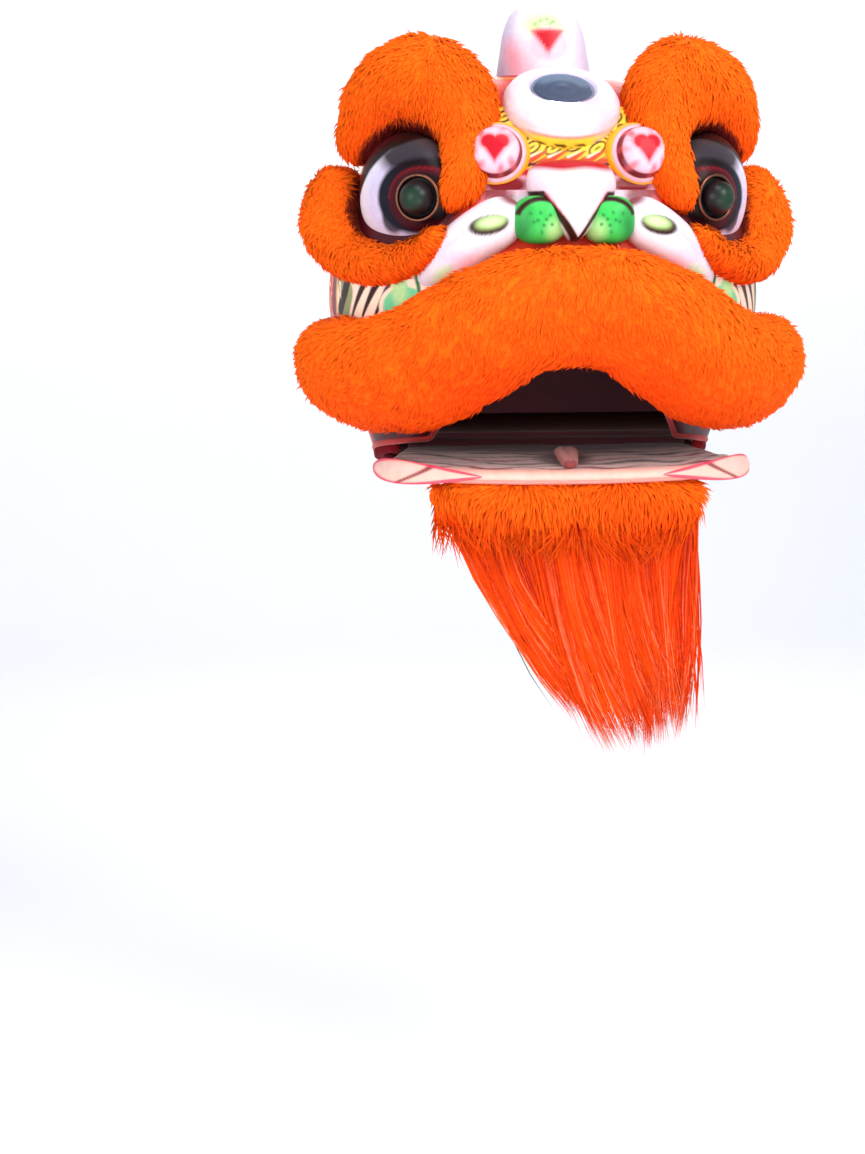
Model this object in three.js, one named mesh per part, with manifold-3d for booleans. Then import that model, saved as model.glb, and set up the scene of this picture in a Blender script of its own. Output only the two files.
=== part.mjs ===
// A lion dance head: a hollow paper shell on a rattan hoop, dressed with padded fur rolls, a painted
// nose, domed eyes, a mirror and a horn, and a lower jaw with a beard that swings on a rod.
// Millimetres, +Z up. The face looks along -Y, and the origin is the middle of the grip bar.
import * as THREE from "three";
import { mergeVertices } from "three/addons/utils/BufferGeometryUtils.js";
import Module from "manifold-3d";

const wasm = await Module();
wasm.setup();

const { Vector3, MathUtils } = THREE;
const SIDES_OF_FACE = { left: -1, right: 1 };

// Clearance between pieces that touch, and the tolerance for merging shared vertices.
const GAP = 0.4;
const MERGE = 1e-3;

// The paper shell, as level sections: its half width, and its reach forward and back of the origin.
const SHELL = { wall: 4, squareness: 2.4, points: 30, levels: 11, seam: 250 };
const SHELL_SECTIONS = [
  { z: -140, half: 186, front: 92, back: 248 },
  { z: -60, half: 210, front: 112, back: 262 },
  { z: 0, half: 230, front: 152, back: 272 },
  { z: 60, half: 253, front: 202, back: 277 },
  { z: 130, half: 273, front: 240, back: 279 },
  { z: 190, half: 275, front: 252, back: 276 },
  { z: 250, half: 262, front: 246, back: 264 },
  { z: 310, half: 241, front: 226, back: 240 },
  { z: 360, half: 217, front: 202, back: 208 },
  { z: 405, half: 178, front: 166, back: 164 },
  { z: 437, half: 116, front: 110, back: 104 },
  { z: 451, half: 44, front: 44, back: 40 },
];
// The rim is level across the head and falls towards the neck.
const RIM = { level: 0, at: -150, fall: 0.19 };
// The arch that the mouth leaves in the front of the shell.
const MOUTH = { sill: -150, half: 192, rise: 258, from: -98, deep: 300, segments: 10 };

// The rattan hoop under the rim, the bar the hands hold, and the rod the jaw swings on.
const HOOP = { tall: 14, wide: 14, steps: 26, start: MathUtils.degToRad(-27) };
const GRIP = { radius: 13, sides: 12 };
const ROD = { radius: 6, y: -60, z: -24.5, sides: 12 };

// The padded fur rolls: across is the half width over the face, deep the half depth out from it.
const FUR = { lock: 5, centre: new Vector3(0, 0, 220) };
const MUZZLE = { steps: 31, sides: 12 };
const MUZZLE_ROWS = [
  { x: 0, y: -272, z: 166, across: 74, deep: 56 },
  { x: 62, y: -270, z: 159, across: 76, deep: 58 },
  { x: 122, y: -250, z: 128, across: 80, deep: 62 },
  { x: 180, y: -212, z: 92, across: 80, deep: 62 },
  { x: 232, y: -162, z: 78, across: 75, deep: 60 },
  { x: 265, y: -112, z: 82, across: 70, deep: 58 },
  { x: 280, y: -70, z: 94, across: 56, deep: 50 },
  { x: 286, y: -42, z: 104, across: 32, deep: 30 },
  { x: 288, y: -30, z: 108, across: 6, deep: 6 },
];
const BROW = { steps: 17, sides: 9 };
const BROW_ROWS = [
  { x: 230, y: -46, z: 340, across: 8, deep: 8 },
  { x: 232, y: -52, z: 356, across: 34, deep: 38 },
  { x: 222, y: -64, z: 388, across: 50, deep: 50 },
  { x: 202, y: -78, z: 420, across: 60, deep: 58 },
  { x: 168, y: -102, z: 434, across: 66, deep: 62 },
  { x: 132, y: -138, z: 412, across: 56, deep: 56 },
  { x: 118, y: -174, z: 372, across: 40, deep: 44 },
  { x: 124, y: -200, z: 330, across: 30, deep: 36 },
  { x: 138, y: -212, z: 296, across: 22, deep: 28 },
  { x: 142, y: -215, z: 280, across: 6, deep: 8 },
];
const CHEEK = { steps: 15, sides: 9 };
const CHEEK_ROWS = [
  { x: 250, y: -28, z: 332, across: 6, deep: 8 },
  { x: 257, y: -34, z: 316, across: 28, deep: 34 },
  { x: 270, y: -48, z: 284, across: 40, deep: 46 },
  { x: 270, y: -66, z: 252, across: 42, deep: 48 },
  { x: 254, y: -106, z: 224, across: 34, deep: 40 },
  { x: 224, y: -164, z: 214, across: 27, deep: 34 },
  { x: 186, y: -206, z: 226, across: 22, deep: 28 },
  { x: 164, y: -222, z: 248, across: 16, deep: 22 },
  { x: 156, y: -226, z: 262, across: 5, deep: 8 },
];

// The painted nose: a bridge that ends in a point, a nostril each side, and a ridge above the lip.
const BRIDGE = { steps: 10, sides: 12 };
const BRIDGE_ROWS = [
  { x: 0, y: -218, z: 336, across: 42, deep: 12 },
  { x: 0, y: -224, z: 326, across: 52, deep: 24 },
  { x: 0, y: -236, z: 306, across: 54, deep: 36 },
  { x: 0, y: -248, z: 284, across: 42, deep: 40 },
  { x: 0, y: -258, z: 262, across: 22, deep: 35 },
  { x: 0, y: -262, z: 245, across: 5, deep: 20 },
];
const NOSTRIL = { x: 42, y: -250, z: 270, radii: [33, 34, 30], segments: [14, 9] };
const RIDGE = { steps: 11, sides: 10 };
const RIDGE_ROWS = [
  { x: 62, y: -244, z: 280, across: 14, deep: 14 },
  { x: 84, y: -240, z: 270, across: 30, deep: 24 },
  { x: 122, y: -226, z: 244, across: 32, deep: 28 },
  { x: 152, y: -208, z: 216, across: 28, deep: 28 },
  { x: 170, y: -194, z: 194, across: 18, deep: 20 },
  { x: 176, y: -190, z: 186, across: 6, deep: 8 },
];

// The eyes: half axes of the painted dome, and the glossy ball in its gilt ring.
const EYE = { x: 188, y: -140, z: 300, yaw: MathUtils.degToRad(60), half: 84, tall: 75, deep: 47 };
const PUPIL = { towardsNose: 62, below: 4, radius: 21, proud: 3 };
const IRIS_RING = { radius: 28, tube: 3.4 };
const EYE_SEGMENTS = { dome: [20, 12], ball: [14, 8], ring: [20, 5] };

// Turned pieces, as [radius, height] profiles about the line they face along.
const BOSS = { x: 86, y: -198, z: 346, facing: new Vector3(0.2, -0.94, 0.26), segments: 16 };
const BOSS_PROFILE = [[0, -40], [40, -40], [41, 6], [37, 13], [31, 15], [30, 26], [20, 36], [0, 40]];
const MIRROR = { y: -154, z: 408, facing: new Vector3(0, -0.5, 0.87), radius: 39.5, thick: 4, seat: 20 };
const MOUNT_PROFILE = [
  [0, -46], [70, -46], [74, -6], [72, 8], [65, 19], [54, 26], [45, 27], [41, 24], [40, 20], [0, 20],
];
const MOUNT_SEGMENTS = 22;
const HORN = { sides: 14, steps: 9 };
const HORN_SECTIONS = [
  { z: 405, y: -16, half: 66, deep: 56 },
  { z: 440, y: -14, half: 62, deep: 53 },
  { z: 474, y: -10, half: 57, deep: 49 },
  { z: 506, y: -6, half: 51, deep: 44 },
  { z: 529, y: -2, half: 40, deep: 35 },
  { z: 545, y: 1, half: 22, deep: 20 },
  { z: 549, y: 2, half: 5, deep: 5 },
];

// The jaw, about its rod: a board whose front edge is a long bow, a padded lip, piping and a tongue.
const JAW = { droop: MathUtils.degToRad(4.5), half: 224, corner: 118, reach: 206, squareness: 2.1 };
const BOARD = { thick: 8, heel: 184, heelAt: -10, barrel: 12, bore: 6.5, barrelHalf: 182, sides: 14 };
const LIP = { wide: 12, tall: 9, steps: 21, sides: 7 };
const PIPING = { radius: 2.8, sides: 4, drop: 4, out: 11 };
const TONGUE_ROWS = [
  { y: -74, z: 8, across: 6, deep: 4 },
  { y: -86, z: 9, across: 15, deep: 7 },
  { y: -134, z: 10, across: 13, deep: 8 },
  { y: -178, z: 10, across: 9, deep: 7 },
  { y: -190, z: 10, across: 4, deep: 3 },
];
const CHIN = {
  inset: 14, below: 31, across: 26, deep: 27, from: MathUtils.degToRad(44), steps: 22, sides: 8,
};

// The beard: locks rooted along the chin and swept together towards one side as they fall.
const BEARD = {
  centre: 14, half: 160, top: -94, root: -118, tip: -412, sweepTo: 88, gather: 0.42, arc: 0.0012, y: -240,
};
const LOCKS = { front: 10, back: 7, steps: 4, wide: 22, thick: 9, layer: 9, ragged: 48 };

const TINTS = {
  shell: [0xd8481a, 0.45], rattan: [0xb98d53, 0.6], bamboo: [0xc9a468, 0.5], fur: [0xff5a0c, 0.9],
  white: [0xf4eeee, 0.55], green: [0x4fce5e, 0.5], eye: [0xf2efec, 0.25], black: [0x0b0b0c, 0.12],
  gilt: [0xc9a15a, 0.35], mirror: [0x9fb2c8, 0.05], boss: [0xf2a4ac, 0.45], lip: [0xf3c3b2, 0.5],
  piping: [0xc8303a, 0.5], board: [0xcf9d92, 0.6], tongue: [0xb5766c, 0.6], hair: [0xf04a12, 0.6],
};
const METALS = { gilt: 0.9, mirror: 1 };

// One value of the smooth curve through b and c, with a and d as its neighbours.
function catmullRom(a, b, c, d, t) {
  const start = (c - a) / 2;
  const end = (d - b) / 2;
  return b + t * (start + t * (3 * (c - b) - 2 * start - end + t * (2 * (b - c) + start + end)));
}

// A table read as smooth curves: count rows spaced evenly down it, with every column splined.
function splined(rows, count) {
  const last = rows.length - 1;
  return Array.from({ length: count }, (_, i) => {
    const at = (i / (count - 1)) * last;
    const k = Math.min(Math.floor(at), last - 1);
    const near = [k - 1, k, k + 1, k + 2].map((n) => rows[MathUtils.clamp(n, 0, last)]);
    const value = (name) => catmullRom(...near.map((row) => row[name]), at - k);
    return Object.fromEntries(Object.keys(rows[0]).map((name) => [name, value(name)]));
  });
}

// A closed skin over rings of points, with each end closed by a fan to the middle of its ring.
function skin(rings) {
  const sides = rings[0].length;
  const middle = (ring) => ring.reduce((sum, p) => sum.add(p), new Vector3()).divideScalar(sides);
  const points = [...rings.flat(), middle(rings[0]), middle(rings.at(-1))];
  const [head, tail] = [points.length - 2, points.length - 1];
  const lastRing = (rings.length - 1) * sides;
  const faces = [];
  for (let j = 0; j < sides; j += 1) {
    const next = (j + 1) % sides;
    faces.push(head, next, j, tail, lastRing + j, lastRing + next);
    for (let row = 0; row < lastRing; row += sides) {
      faces.push(row + j, row + next, row + sides + next, row + j, row + sides + next, row + sides + j);
    }
  }
  return new THREE.BufferGeometry().setFromPoints(points).setIndex(faces);
}

// A geometry as a solid for joining and cutting, turned right side out if its faces point inwards.
function solidOf(geometry) {
  const bare = new THREE.BufferGeometry().setAttribute("position", geometry.getAttribute("position"));
  const merged = mergeVertices(bare.setIndex(geometry.getIndex()), MERGE);
  const faces = [];
  for (let i = 0; i < merged.index.count; i += 3) {
    const [a, b, c] = merged.index.array.slice(i, i + 3);
    if (a !== b && b !== c && c !== a) faces.push(a, b, c);
  }
  const vertProperties = Float32Array.from(merged.attributes.position.array);
  const made = (list) => new wasm.Manifold(
    new wasm.Mesh({ numProp: 3, vertProperties, triVerts: Uint32Array.from(list) }),
  );
  const solid = made(faces);
  return solid.volume() > 0 ? solid : made(faces.reverse());
}

// The largest body of a solid: what a cut leaves loose behind a wall is dropped.
function largest(solid) {
  return solid.decompose().reduce((best, body) => (body.volume() > best.volume() ? body : best));
}

// A solid as a named mesh.
function mesh(name, solid, tint) {
  const { numProp, vertProperties, triVerts } = solid.getMesh();
  const position = new THREE.BufferAttribute(new Float32Array(vertProperties), numProp);
  const geometry = new THREE.BufferGeometry().setAttribute("position", position);
  geometry.setIndex(new THREE.BufferAttribute(new Uint32Array(triVerts), 1));
  const flat = geometry.toNonIndexed();
  flat.computeVertexNormals();
  const [color, roughness] = TINTS[tint];
  const material = new THREE.MeshStandardMaterial({ color, roughness, metalness: METALS[tint] ?? 0 });
  const made = new THREE.Mesh(flat, material);
  made.name = name;
  return made;
}

// Seats pieces one after another: each is cut back, with a small gap, from all that came before.
class Seating {
  constructor(...solids) {
    this.taken = solids;
  }

  // build(grow) gives the piece, made larger all round by grow.
  seat(build) {
    const cut = this.taken.reduce((solid, other) => solid.subtract(other), build(0));
    this.taken.push(build(GAP));
    return largest(cut);
  }
}

// A geometry made about +Y, turned to face along a direction and moved to a point.
function aimed(geometry, at, facing) {
  const front = facing.clone().normalize();
  const side = new Vector3().crossVectors(front, new Vector3(0, 0, 1)).normalize();
  const top = new Vector3().crossVectors(side, front);
  return geometry.applyMatrix4(new THREE.Matrix4().makeBasis(side, front, top).setPosition(at));
}

// A profile of [radius, height] pairs turned about +Y, made larger all round by grow.
function turned(profile, segments, grow) {
  const points = profile.map(([radius, height]) => new THREE.Vector2(
    radius > 0 ? radius + grow : 0,
    height + (height > 0 ? grow : -grow),
  ));
  return new THREE.LatheGeometry(points, segments);
}

// One point of a superellipse: the powers of the cosine and the sine of an angle.
function superellipse(angle, squareness) {
  const power = (v) => Math.sign(v) * Math.abs(v) ** (2 / squareness);
  return [power(Math.cos(angle)), power(Math.sin(angle))];
}

// A point of the shell's outside on one of its sections, moved out by grow.
function shellPoint(section, angle, grow) {
  const [across, along] = superellipse(angle, SHELL.squareness);
  const reach = along < 0 ? section.front : section.back;
  return new Vector3((section.half + grow) * across, (reach + grow) * along, section.z);
}

// The shell as a filled form. A grow below zero also lowers the crown, to leave the wall there.
function shellForm(grow) {
  const crown = SHELL_SECTIONS.at(-1).z;
  const rings = splined(SHELL_SECTIONS, SHELL.levels).map((section) => {
    const level = { ...section, z: section.z + (grow * section.z) / crown };
    const step = (2 * Math.PI) / SHELL.points;
    return Array.from({ length: SHELL.points }, (_, i) => shellPoint(level, i * step, grow));
  });
  return solidOf(skin(rings));
}

// The height of the rim's sloping plane at a distance back from the origin.
function rimHeight(y) {
  return RIM.level - RIM.fall * (y - RIM.at);
}

// Everything under the rim's plane, as one large tilted box.
function belowRim() {
  const size = { wide: 900, long: 1200, tall: 400 };
  const box = new THREE.BoxGeometry(size.wide, size.long, size.tall).translate(0, 0, -size.tall / 2);
  return solidOf(box.rotateX(-Math.atan(RIM.fall)).translate(0, 0, rimHeight(0)));
}

// The mouth's arch, drawn across the face and run forward out of the shell.
function mouthArch() {
  const arch = new THREE.Shape();
  arch.absellipse(0, MOUTH.sill, MOUTH.half, MOUTH.rise, 0, Math.PI);
  const options = { depth: MOUTH.deep, bevelEnabled: false, curveSegments: MOUTH.segments };
  return solidOf(new THREE.ExtrudeGeometry(arch, options).rotateX(Math.PI / 2).translate(0, MOUTH.from, 0));
}

function headShell() {
  return shellForm(0).subtract(shellForm(-SHELL.wall)).subtract(belowRim()).subtract(mouthArch());
}

// One panel of the shell: what lies to the right, behind and above the seams, or on their other sides.
function shellPanel(shell, right, behind, above) {
  const size = 1200;
  const shift = (on) => (on ? 1 : -1) * (size + GAP) * 0.5;
  const box = new THREE.BoxGeometry(size, size, size);
  box.translate(shift(right), shift(behind), SHELL.seam + shift(above));
  return largest(shell.intersect(solidOf(box)));
}

// The section of the shell at a height, read straight between the table's rows.
function sectionAt(z) {
  const above = SHELL_SECTIONS.findIndex((row) => row.z >= z);
  const [low, high] = [SHELL_SECTIONS[above - 1], SHELL_SECTIONS[above]];
  const t = (z - low.z) / (high.z - low.z);
  const between = (name) => MathUtils.lerp(low[name], high[name], t);
  return { z, half: between("half"), front: between("front"), back: between("back") };
}

// A point under the shell's rim: the plane and the section there are found by turns.
function rimPoint(angle, inset) {
  let point = shellPoint(sectionAt(0), angle, -inset);
  for (let turn = 0; turn < 4; turn += 1) {
    point = shellPoint(sectionAt(rimHeight(point.y)), angle, -inset);
  }
  return point;
}

// A flat rattan hoop that follows the rim from one corner of the mouth, round the neck, to the other.
function rattanHoop(grow) {
  const sweep = Math.PI - 2 * HOOP.start;
  const rings = Array.from({ length: HOOP.steps }, (_, i) => {
    const angle = HOOP.start + (sweep * i) / (HOOP.steps - 1);
    const corners = [[-grow, GAP - grow], [-grow, GAP + HOOP.tall + grow],
      [HOOP.wide + grow, GAP + HOOP.tall + grow], [HOOP.wide + grow, GAP - grow]];
    return corners.map(([inset, drop]) => {
      const point = rimPoint(angle, inset);
      return point.setZ(rimHeight(point.y) - drop);
    });
  });
  return solidOf(skin(rings));
}

// A round bar along X, made much longer than the head so that it can be cut to fit.
function crossBar({ radius, sides, y = 0, z = 0 }) {
  const length = 900;
  const rod = new THREE.CylinderGeometry(radius, radius, length, sides);
  return solidOf(rod.rotateZ(Math.PI / 2).translate(0, y, z));
}

function gripBar() {
  return crossBar(GRIP).intersect(shellForm(-SHELL.wall - GAP));
}

function jawRod() {
  return largest(crossBar(ROD).subtract(rattanHoop(GAP)).intersect(shellForm(-HOOP.wide)));
}

// How far a corner of a fur roll stands proud or sits low, from -1 to 1, so that the fur lies in locks.
function tuft(ring, corner) {
  return Math.sin(2.1 * ring + 5.3 * corner) * Math.cos(1.3 * ring - 2.9 * corner);
}

// A padded fur roll along the splined rows of a table, with its surface raised in locks.
function furRoll(rows, { steps, sides }, hand, grow, lock = FUR.lock) {
  const spine = splined(rows, steps).map((row) => ({ ...row, at: new Vector3(hand * row.x, row.y, row.z) }));
  const rings = spine.map((row, i) => {
    const before = spine[Math.max(i - 1, 0)].at;
    const after = spine[Math.min(i + 1, steps - 1)].at;
    const along = new Vector3().subVectors(after, before).normalize();
    const out = new Vector3().subVectors(row.at, FUR.centre).projectOnPlane(along).normalize();
    const side = new Vector3().crossVectors(along, out);
    const relief = lock * Math.min(1, row.across / (4 * FUR.lock));
    return Array.from({ length: sides }, (_, j) => {
      const angle = (j / sides) * 2 * Math.PI;
      const proud = grow + relief * tuft(i, j);
      return row.at.clone()
        .addScaledVector(side, (row.across + proud) * Math.cos(angle))
        .addScaledVector(out, (row.deep + proud) * Math.sin(angle));
    });
  });
  return solidOf(skin(rings));
}

// The muzzle's table read from one end of the lip, over the middle, to the other.
function muzzleRoll(grow) {
  const half = MUZZLE_ROWS.slice(1);
  const left = half.map((row) => ({ ...row, x: -row.x })).reverse();
  return furRoll([...left, MUZZLE_ROWS[0], ...half], MUZZLE, 1, grow);
}

// An ellipsoid with its first half axis across, its second along the way it faces, its third up.
function ellipsoid([across, deep, tall], [around, levels], at, facing, grow) {
  const ball = new THREE.SphereGeometry(1, around, levels).scale(across + grow, deep + grow, tall + grow);
  return solidOf(aimed(ball, at, facing));
}

function nostril(hand, grow) {
  const { x, y, z, radii, segments } = NOSTRIL;
  return ellipsoid(radii, segments, new Vector3(hand * x, y, z), new Vector3(0, -1, 0), grow);
}

// The eye's own directions on one side of the face: the way it looks, and the way to the nose.
function eyeAxes(hand) {
  const [sin, cos] = [Math.sin(EYE.yaw), Math.cos(EYE.yaw)];
  return { out: new Vector3(hand * sin, -cos, 0), inward: new Vector3(-hand * cos, -sin, 0) };
}

function eyeDome(hand, grow) {
  const at = new Vector3(hand * EYE.x, EYE.y, EYE.z);
  return ellipsoid([EYE.half, EYE.deep, EYE.tall], EYE_SEGMENTS.dome, at, eyeAxes(hand).out, grow);
}

// Where the pupil sits on the dome, and the way the dome faces there.
function pupilSeat(hand) {
  const { out, inward } = eyeAxes(hand);
  const share = Math.sqrt(1 - (PUPIL.towardsNose / EYE.half) ** 2);
  const at = new Vector3(hand * EYE.x, EYE.y, EYE.z - PUPIL.below)
    .addScaledVector(out, EYE.deep * share)
    .addScaledVector(inward, PUPIL.towardsNose);
  const facing = out.clone().multiplyScalar(share / EYE.deep)
    .addScaledVector(inward, PUPIL.towardsNose / EYE.half ** 2);
  return { at, facing: facing.normalize() };
}

function pupilBall(hand, grow) {
  const { at, facing } = pupilSeat(hand);
  const radii = [PUPIL.radius, PUPIL.radius, PUPIL.radius];
  return ellipsoid(radii, EYE_SEGMENTS.ball, at.addScaledVector(facing, PUPIL.proud), facing, grow);
}

function irisRing(hand, grow) {
  const { at, facing } = pupilSeat(hand);
  const [around, across] = EYE_SEGMENTS.ring;
  const ring = new THREE.TorusGeometry(IRIS_RING.radius, IRIS_RING.tube + grow, across, around);
  return solidOf(aimed(ring.rotateX(Math.PI / 2), at, facing));
}

function foreheadBoss(hand, grow) {
  const facing = BOSS.facing.clone().setX(hand * BOSS.facing.x);
  const centre = new Vector3(hand * BOSS.x, BOSS.y, BOSS.z);
  return solidOf(aimed(turned(BOSS_PROFILE, BOSS.segments, grow), centre, facing));
}

function mirrorMount(grow) {
  const centre = new Vector3(0, MIRROR.y, MIRROR.z);
  return solidOf(aimed(turned(MOUNT_PROFILE, MOUNT_SEGMENTS, grow), centre, MIRROR.facing));
}

function mirrorGlass() {
  const radius = MIRROR.radius - 2 * GAP;
  const disc = new THREE.CylinderGeometry(radius, radius, MIRROR.thick, MOUNT_SEGMENTS);
  disc.translate(0, MIRROR.seat + GAP + MIRROR.thick / 2, 0);
  return solidOf(aimed(disc, new Vector3(0, MIRROR.y, MIRROR.z), MIRROR.facing));
}

function horn(grow) {
  const rings = splined(HORN_SECTIONS, HORN.steps).map((row) => Array.from({ length: HORN.sides }, (_, j) => {
    const angle = (j / HORN.sides) * 2 * Math.PI;
    const y = row.y + (row.deep + grow) * Math.sin(angle);
    return new Vector3((row.half + grow) * Math.cos(angle), y, row.z + grow);
  }));
  return solidOf(skin(rings));
}

// A point of the jaw's bowed front edge, from one corner (angle 0) to the other (angle pi).
function jawEdge(angle, inset) {
  const [across, along] = superellipse(angle, JAW.squareness);
  return new Vector3((JAW.half - inset) * across, -JAW.corner - (JAW.reach - JAW.corner - inset) * along, 0);
}

// The board with its barrel for the rod.
function jawBoard(grow) {
  const edge = Array.from({ length: LIP.steps }, (_, i) => jawEdge((Math.PI * i) / (LIP.steps - 1), -grow));
  const heel = [[-BOARD.heel - grow, BOARD.heelAt + grow], [BOARD.heel + grow, BOARD.heelAt + grow]];
  const outline = [...edge.map((p) => [p.x, p.y]), ...heel].map(([x, y]) => new THREE.Vector2(x, y));
  const options = { depth: BOARD.thick + 2 * grow, bevelEnabled: false };
  const flat = new THREE.ExtrudeGeometry(new THREE.Shape(outline), options);
  const board = flat.translate(0, 0, -BOARD.thick / 2 - grow);
  const barrel = { radius: BOARD.barrel + grow, sides: BOARD.sides };
  const length = 2 * (BOARD.barrelHalf + grow);
  const upright = new THREE.CylinderGeometry(barrel.radius, barrel.radius, length, barrel.sides);
  const tube = upright.rotateZ(Math.PI / 2);
  return solidOf(board).add(solidOf(tube)).subtract(crossBar({ radius: BOARD.bore, sides: BOARD.sides }));
}

// A tube along the jaw's edge between two angles, with its half width and half height by formula.
function alongJaw({ from, steps, sides, place, size }) {
  const rings = Array.from({ length: steps }, (_, i) => {
    const share = i / (steps - 1);
    const angle = from + (Math.PI - 2 * from) * share;
    const [before, after] = [place(angle - 0.01), place(angle + 0.01)];
    const along = after.sub(before).normalize();
    const side = new Vector3().crossVectors(along, new Vector3(0, 0, 1)).normalize();
    const { wide, tall } = size(share, i);
    return Array.from({ length: sides }, (_, j) => {
      const turn = (j / sides) * 2 * Math.PI;
      const centre = place(angle);
      const z = centre.z + tall(j) * Math.sin(turn);
      return centre.addScaledVector(side, wide(j) * Math.cos(turn)).setZ(z);
    });
  });
  return solidOf(skin(rings));
}

// How full a tube is along its length: thin at both ends, full soon after.
function fullness(share, sharpness) {
  return Math.min(1, (0.12 + Math.sin(Math.PI * share) ** sharpness) / 1.02);
}

function jawLip(grow) {
  return alongJaw({
    ...LIP,
    from: 0.02,
    place: (angle) => jawEdge(angle, 0),
    size: (share) => {
      const full = fullness(share, 0.45);
      return { wide: () => LIP.wide * full + grow, tall: () => LIP.tall * full + grow };
    },
  });
}

function lipPiping(grow) {
  return alongJaw({
    ...PIPING,
    from: 0.05,
    steps: LIP.steps,
    place: (angle) => jawEdge(angle, -PIPING.out).setZ(-PIPING.drop),
    size: () => ({ wide: () => PIPING.radius + grow, tall: () => PIPING.radius + grow }),
  });
}

function tongue(grow) {
  const sides = 8;
  const rings = splined(TONGUE_ROWS, 8).map((row) => Array.from({ length: sides }, (_, j) => {
    const turn = (j / sides) * 2 * Math.PI;
    const z = row.z + (row.deep + grow) * Math.sin(turn);
    return new Vector3((row.across + grow) * Math.cos(turn), row.y, z);
  }));
  return solidOf(skin(rings));
}

// The fur under the lip, tufted as the rolls of the face are.
function chinRoll(grow) {
  return alongJaw({
    ...CHIN,
    place: (angle) => jawEdge(angle, CHIN.inset).setZ(-CHIN.below),
    size: (share, i) => {
      const full = fullness(share, 0.5);
      const proud = (j) => FUR.lock * full * tuft(i, j) + grow;
      return { wide: (j) => CHIN.across * full + proud(j), tall: (j) => CHIN.deep * full + proud(j) };
    },
  });
}

// How far forward the beard hangs at a distance across the chin.
function beardY(x) {
  return BEARD.y + BEARD.arc * x * x;
}

// One lock: a flat tapering strip from its root at x, gathered towards the sweep as it falls.
function beardLock(rootX, behind, length) {
  const tipX = BEARD.sweepTo + BEARD.gather * (rootX - BEARD.sweepTo / 4);
  const rings = Array.from({ length: LOCKS.steps + 1 }, (_, i) => {
    const t = i / LOCKS.steps;
    const at = new Vector3(
      MathUtils.lerp(rootX, tipX, t ** 1.7),
      MathUtils.lerp(beardY(rootX) + behind, beardY(tipX / 2) + behind / 2 + 14, t),
      BEARD.root - length * t,
    );
    const [wide, thick] = [LOCKS.wide * (1 - 0.82 * t ** 1.6), LOCKS.thick * (1 - 0.75 * t)];
    const corners = [[-wide, 0], [0, -thick], [wide, 0], [0, thick]];
    return corners.map(([x, y]) => at.clone().add(new Vector3(x, y, 0)));
  });
  return solidOf(skin(rings));
}

// The strip of cloth that the locks are sewn to, bowed as the chin is.
function beardBacking() {
  const half = LOCKS.thick / 2;
  const rings = Array.from({ length: LOCKS.front + 1 }, (_, i) => {
    const x = BEARD.centre + MathUtils.lerp(-BEARD.half, BEARD.half, i / LOCKS.front);
    const low = BEARD.root - 14;
    const corners = [[-half, BEARD.top], [half, BEARD.top], [half + LOCKS.layer, low], [-half, low]];
    return corners.map(([y, z]) => new Vector3(x, beardY(x) + y, z));
  });
  return solidOf(skin(rings));
}

function beard() {
  let solid = beardBacking();
  for (const [count, behind] of [[LOCKS.front, 0], [LOCKS.back, LOCKS.layer]]) {
    for (let i = 0; i < count; i += 1) {
      const rootX = BEARD.centre + 2 * (BEARD.half - LOCKS.wide) * (i / (count - 1) - 0.5);
      const full = BEARD.root - BEARD.tip;
      const length = full - LOCKS.ragged * Math.abs(Math.sin(2.4 * i + behind)) - Math.max(0, -rootX) * 0.25;
      solid = solid.add(beardLock(rootX, behind, length));
    }
  }
  return solid;
}

const head = new THREE.Group();
const shell = headShell();
for (const [level, above] of [["low", false], ["crown", true]]) {
  for (const [depth, behind] of [["front", false], ["back", true]]) {
    for (const [side, hand] of Object.entries(SIDES_OF_FACE)) {
      const panel = shellPanel(shell, hand > 0, behind, above);
      head.add(mesh(`shell_${level}_${depth}_${side}`, panel, "shell"));
    }
  }
}
head.add(mesh("base_hoop", rattanHoop(0), "rattan"));
head.add(mesh("grip_bar", gripBar(), "bamboo"));
head.add(mesh("jaw_rod", jawRod(), "bamboo"));

const face = new Seating(shellForm(GAP));
head.add(mesh("mirror_mount", face.seat(mirrorMount), "white"));
head.add(mesh("mirror", mirrorGlass(), "mirror"));
head.add(mesh("horn", face.seat(horn), "white"));
head.add(mesh("nose_bridge", face.seat((grow) => furRoll(BRIDGE_ROWS, BRIDGE, 1, grow, 0)), "white"));
for (const [side, hand] of Object.entries(SIDES_OF_FACE)) {
  head.add(mesh(`forehead_boss_${side}`, face.seat((grow) => foreheadBoss(hand, grow)), "boss"));
  head.add(mesh(`nostril_${side}`, face.seat((grow) => nostril(hand, grow)), "green"));
  const ridge = (grow) => furRoll(RIDGE_ROWS, RIDGE, hand, grow, 0);
  head.add(mesh(`lip_ridge_${side}`, face.seat(ridge), "white"));
  head.add(mesh(`eye_dome_${side}`, face.seat((grow) => eyeDome(hand, grow)), "eye"));
  head.add(mesh(`iris_ring_${side}`, face.seat((grow) => irisRing(hand, grow)), "gilt"));
  head.add(mesh(`pupil_${side}`, face.seat((grow) => pupilBall(hand, grow)), "black"));
}
head.add(mesh("muzzle_fur", face.seat(muzzleRoll), "fur"));
for (const [side, hand] of Object.entries(SIDES_OF_FACE)) {
  head.add(mesh(`brow_fur_${side}`, face.seat((grow) => furRoll(BROW_ROWS, BROW, hand, grow)), "fur"));
  head.add(mesh(`cheek_fur_${side}`, face.seat((grow) => furRoll(CHEEK_ROWS, CHEEK, hand, grow)), "fur"));
}

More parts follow.
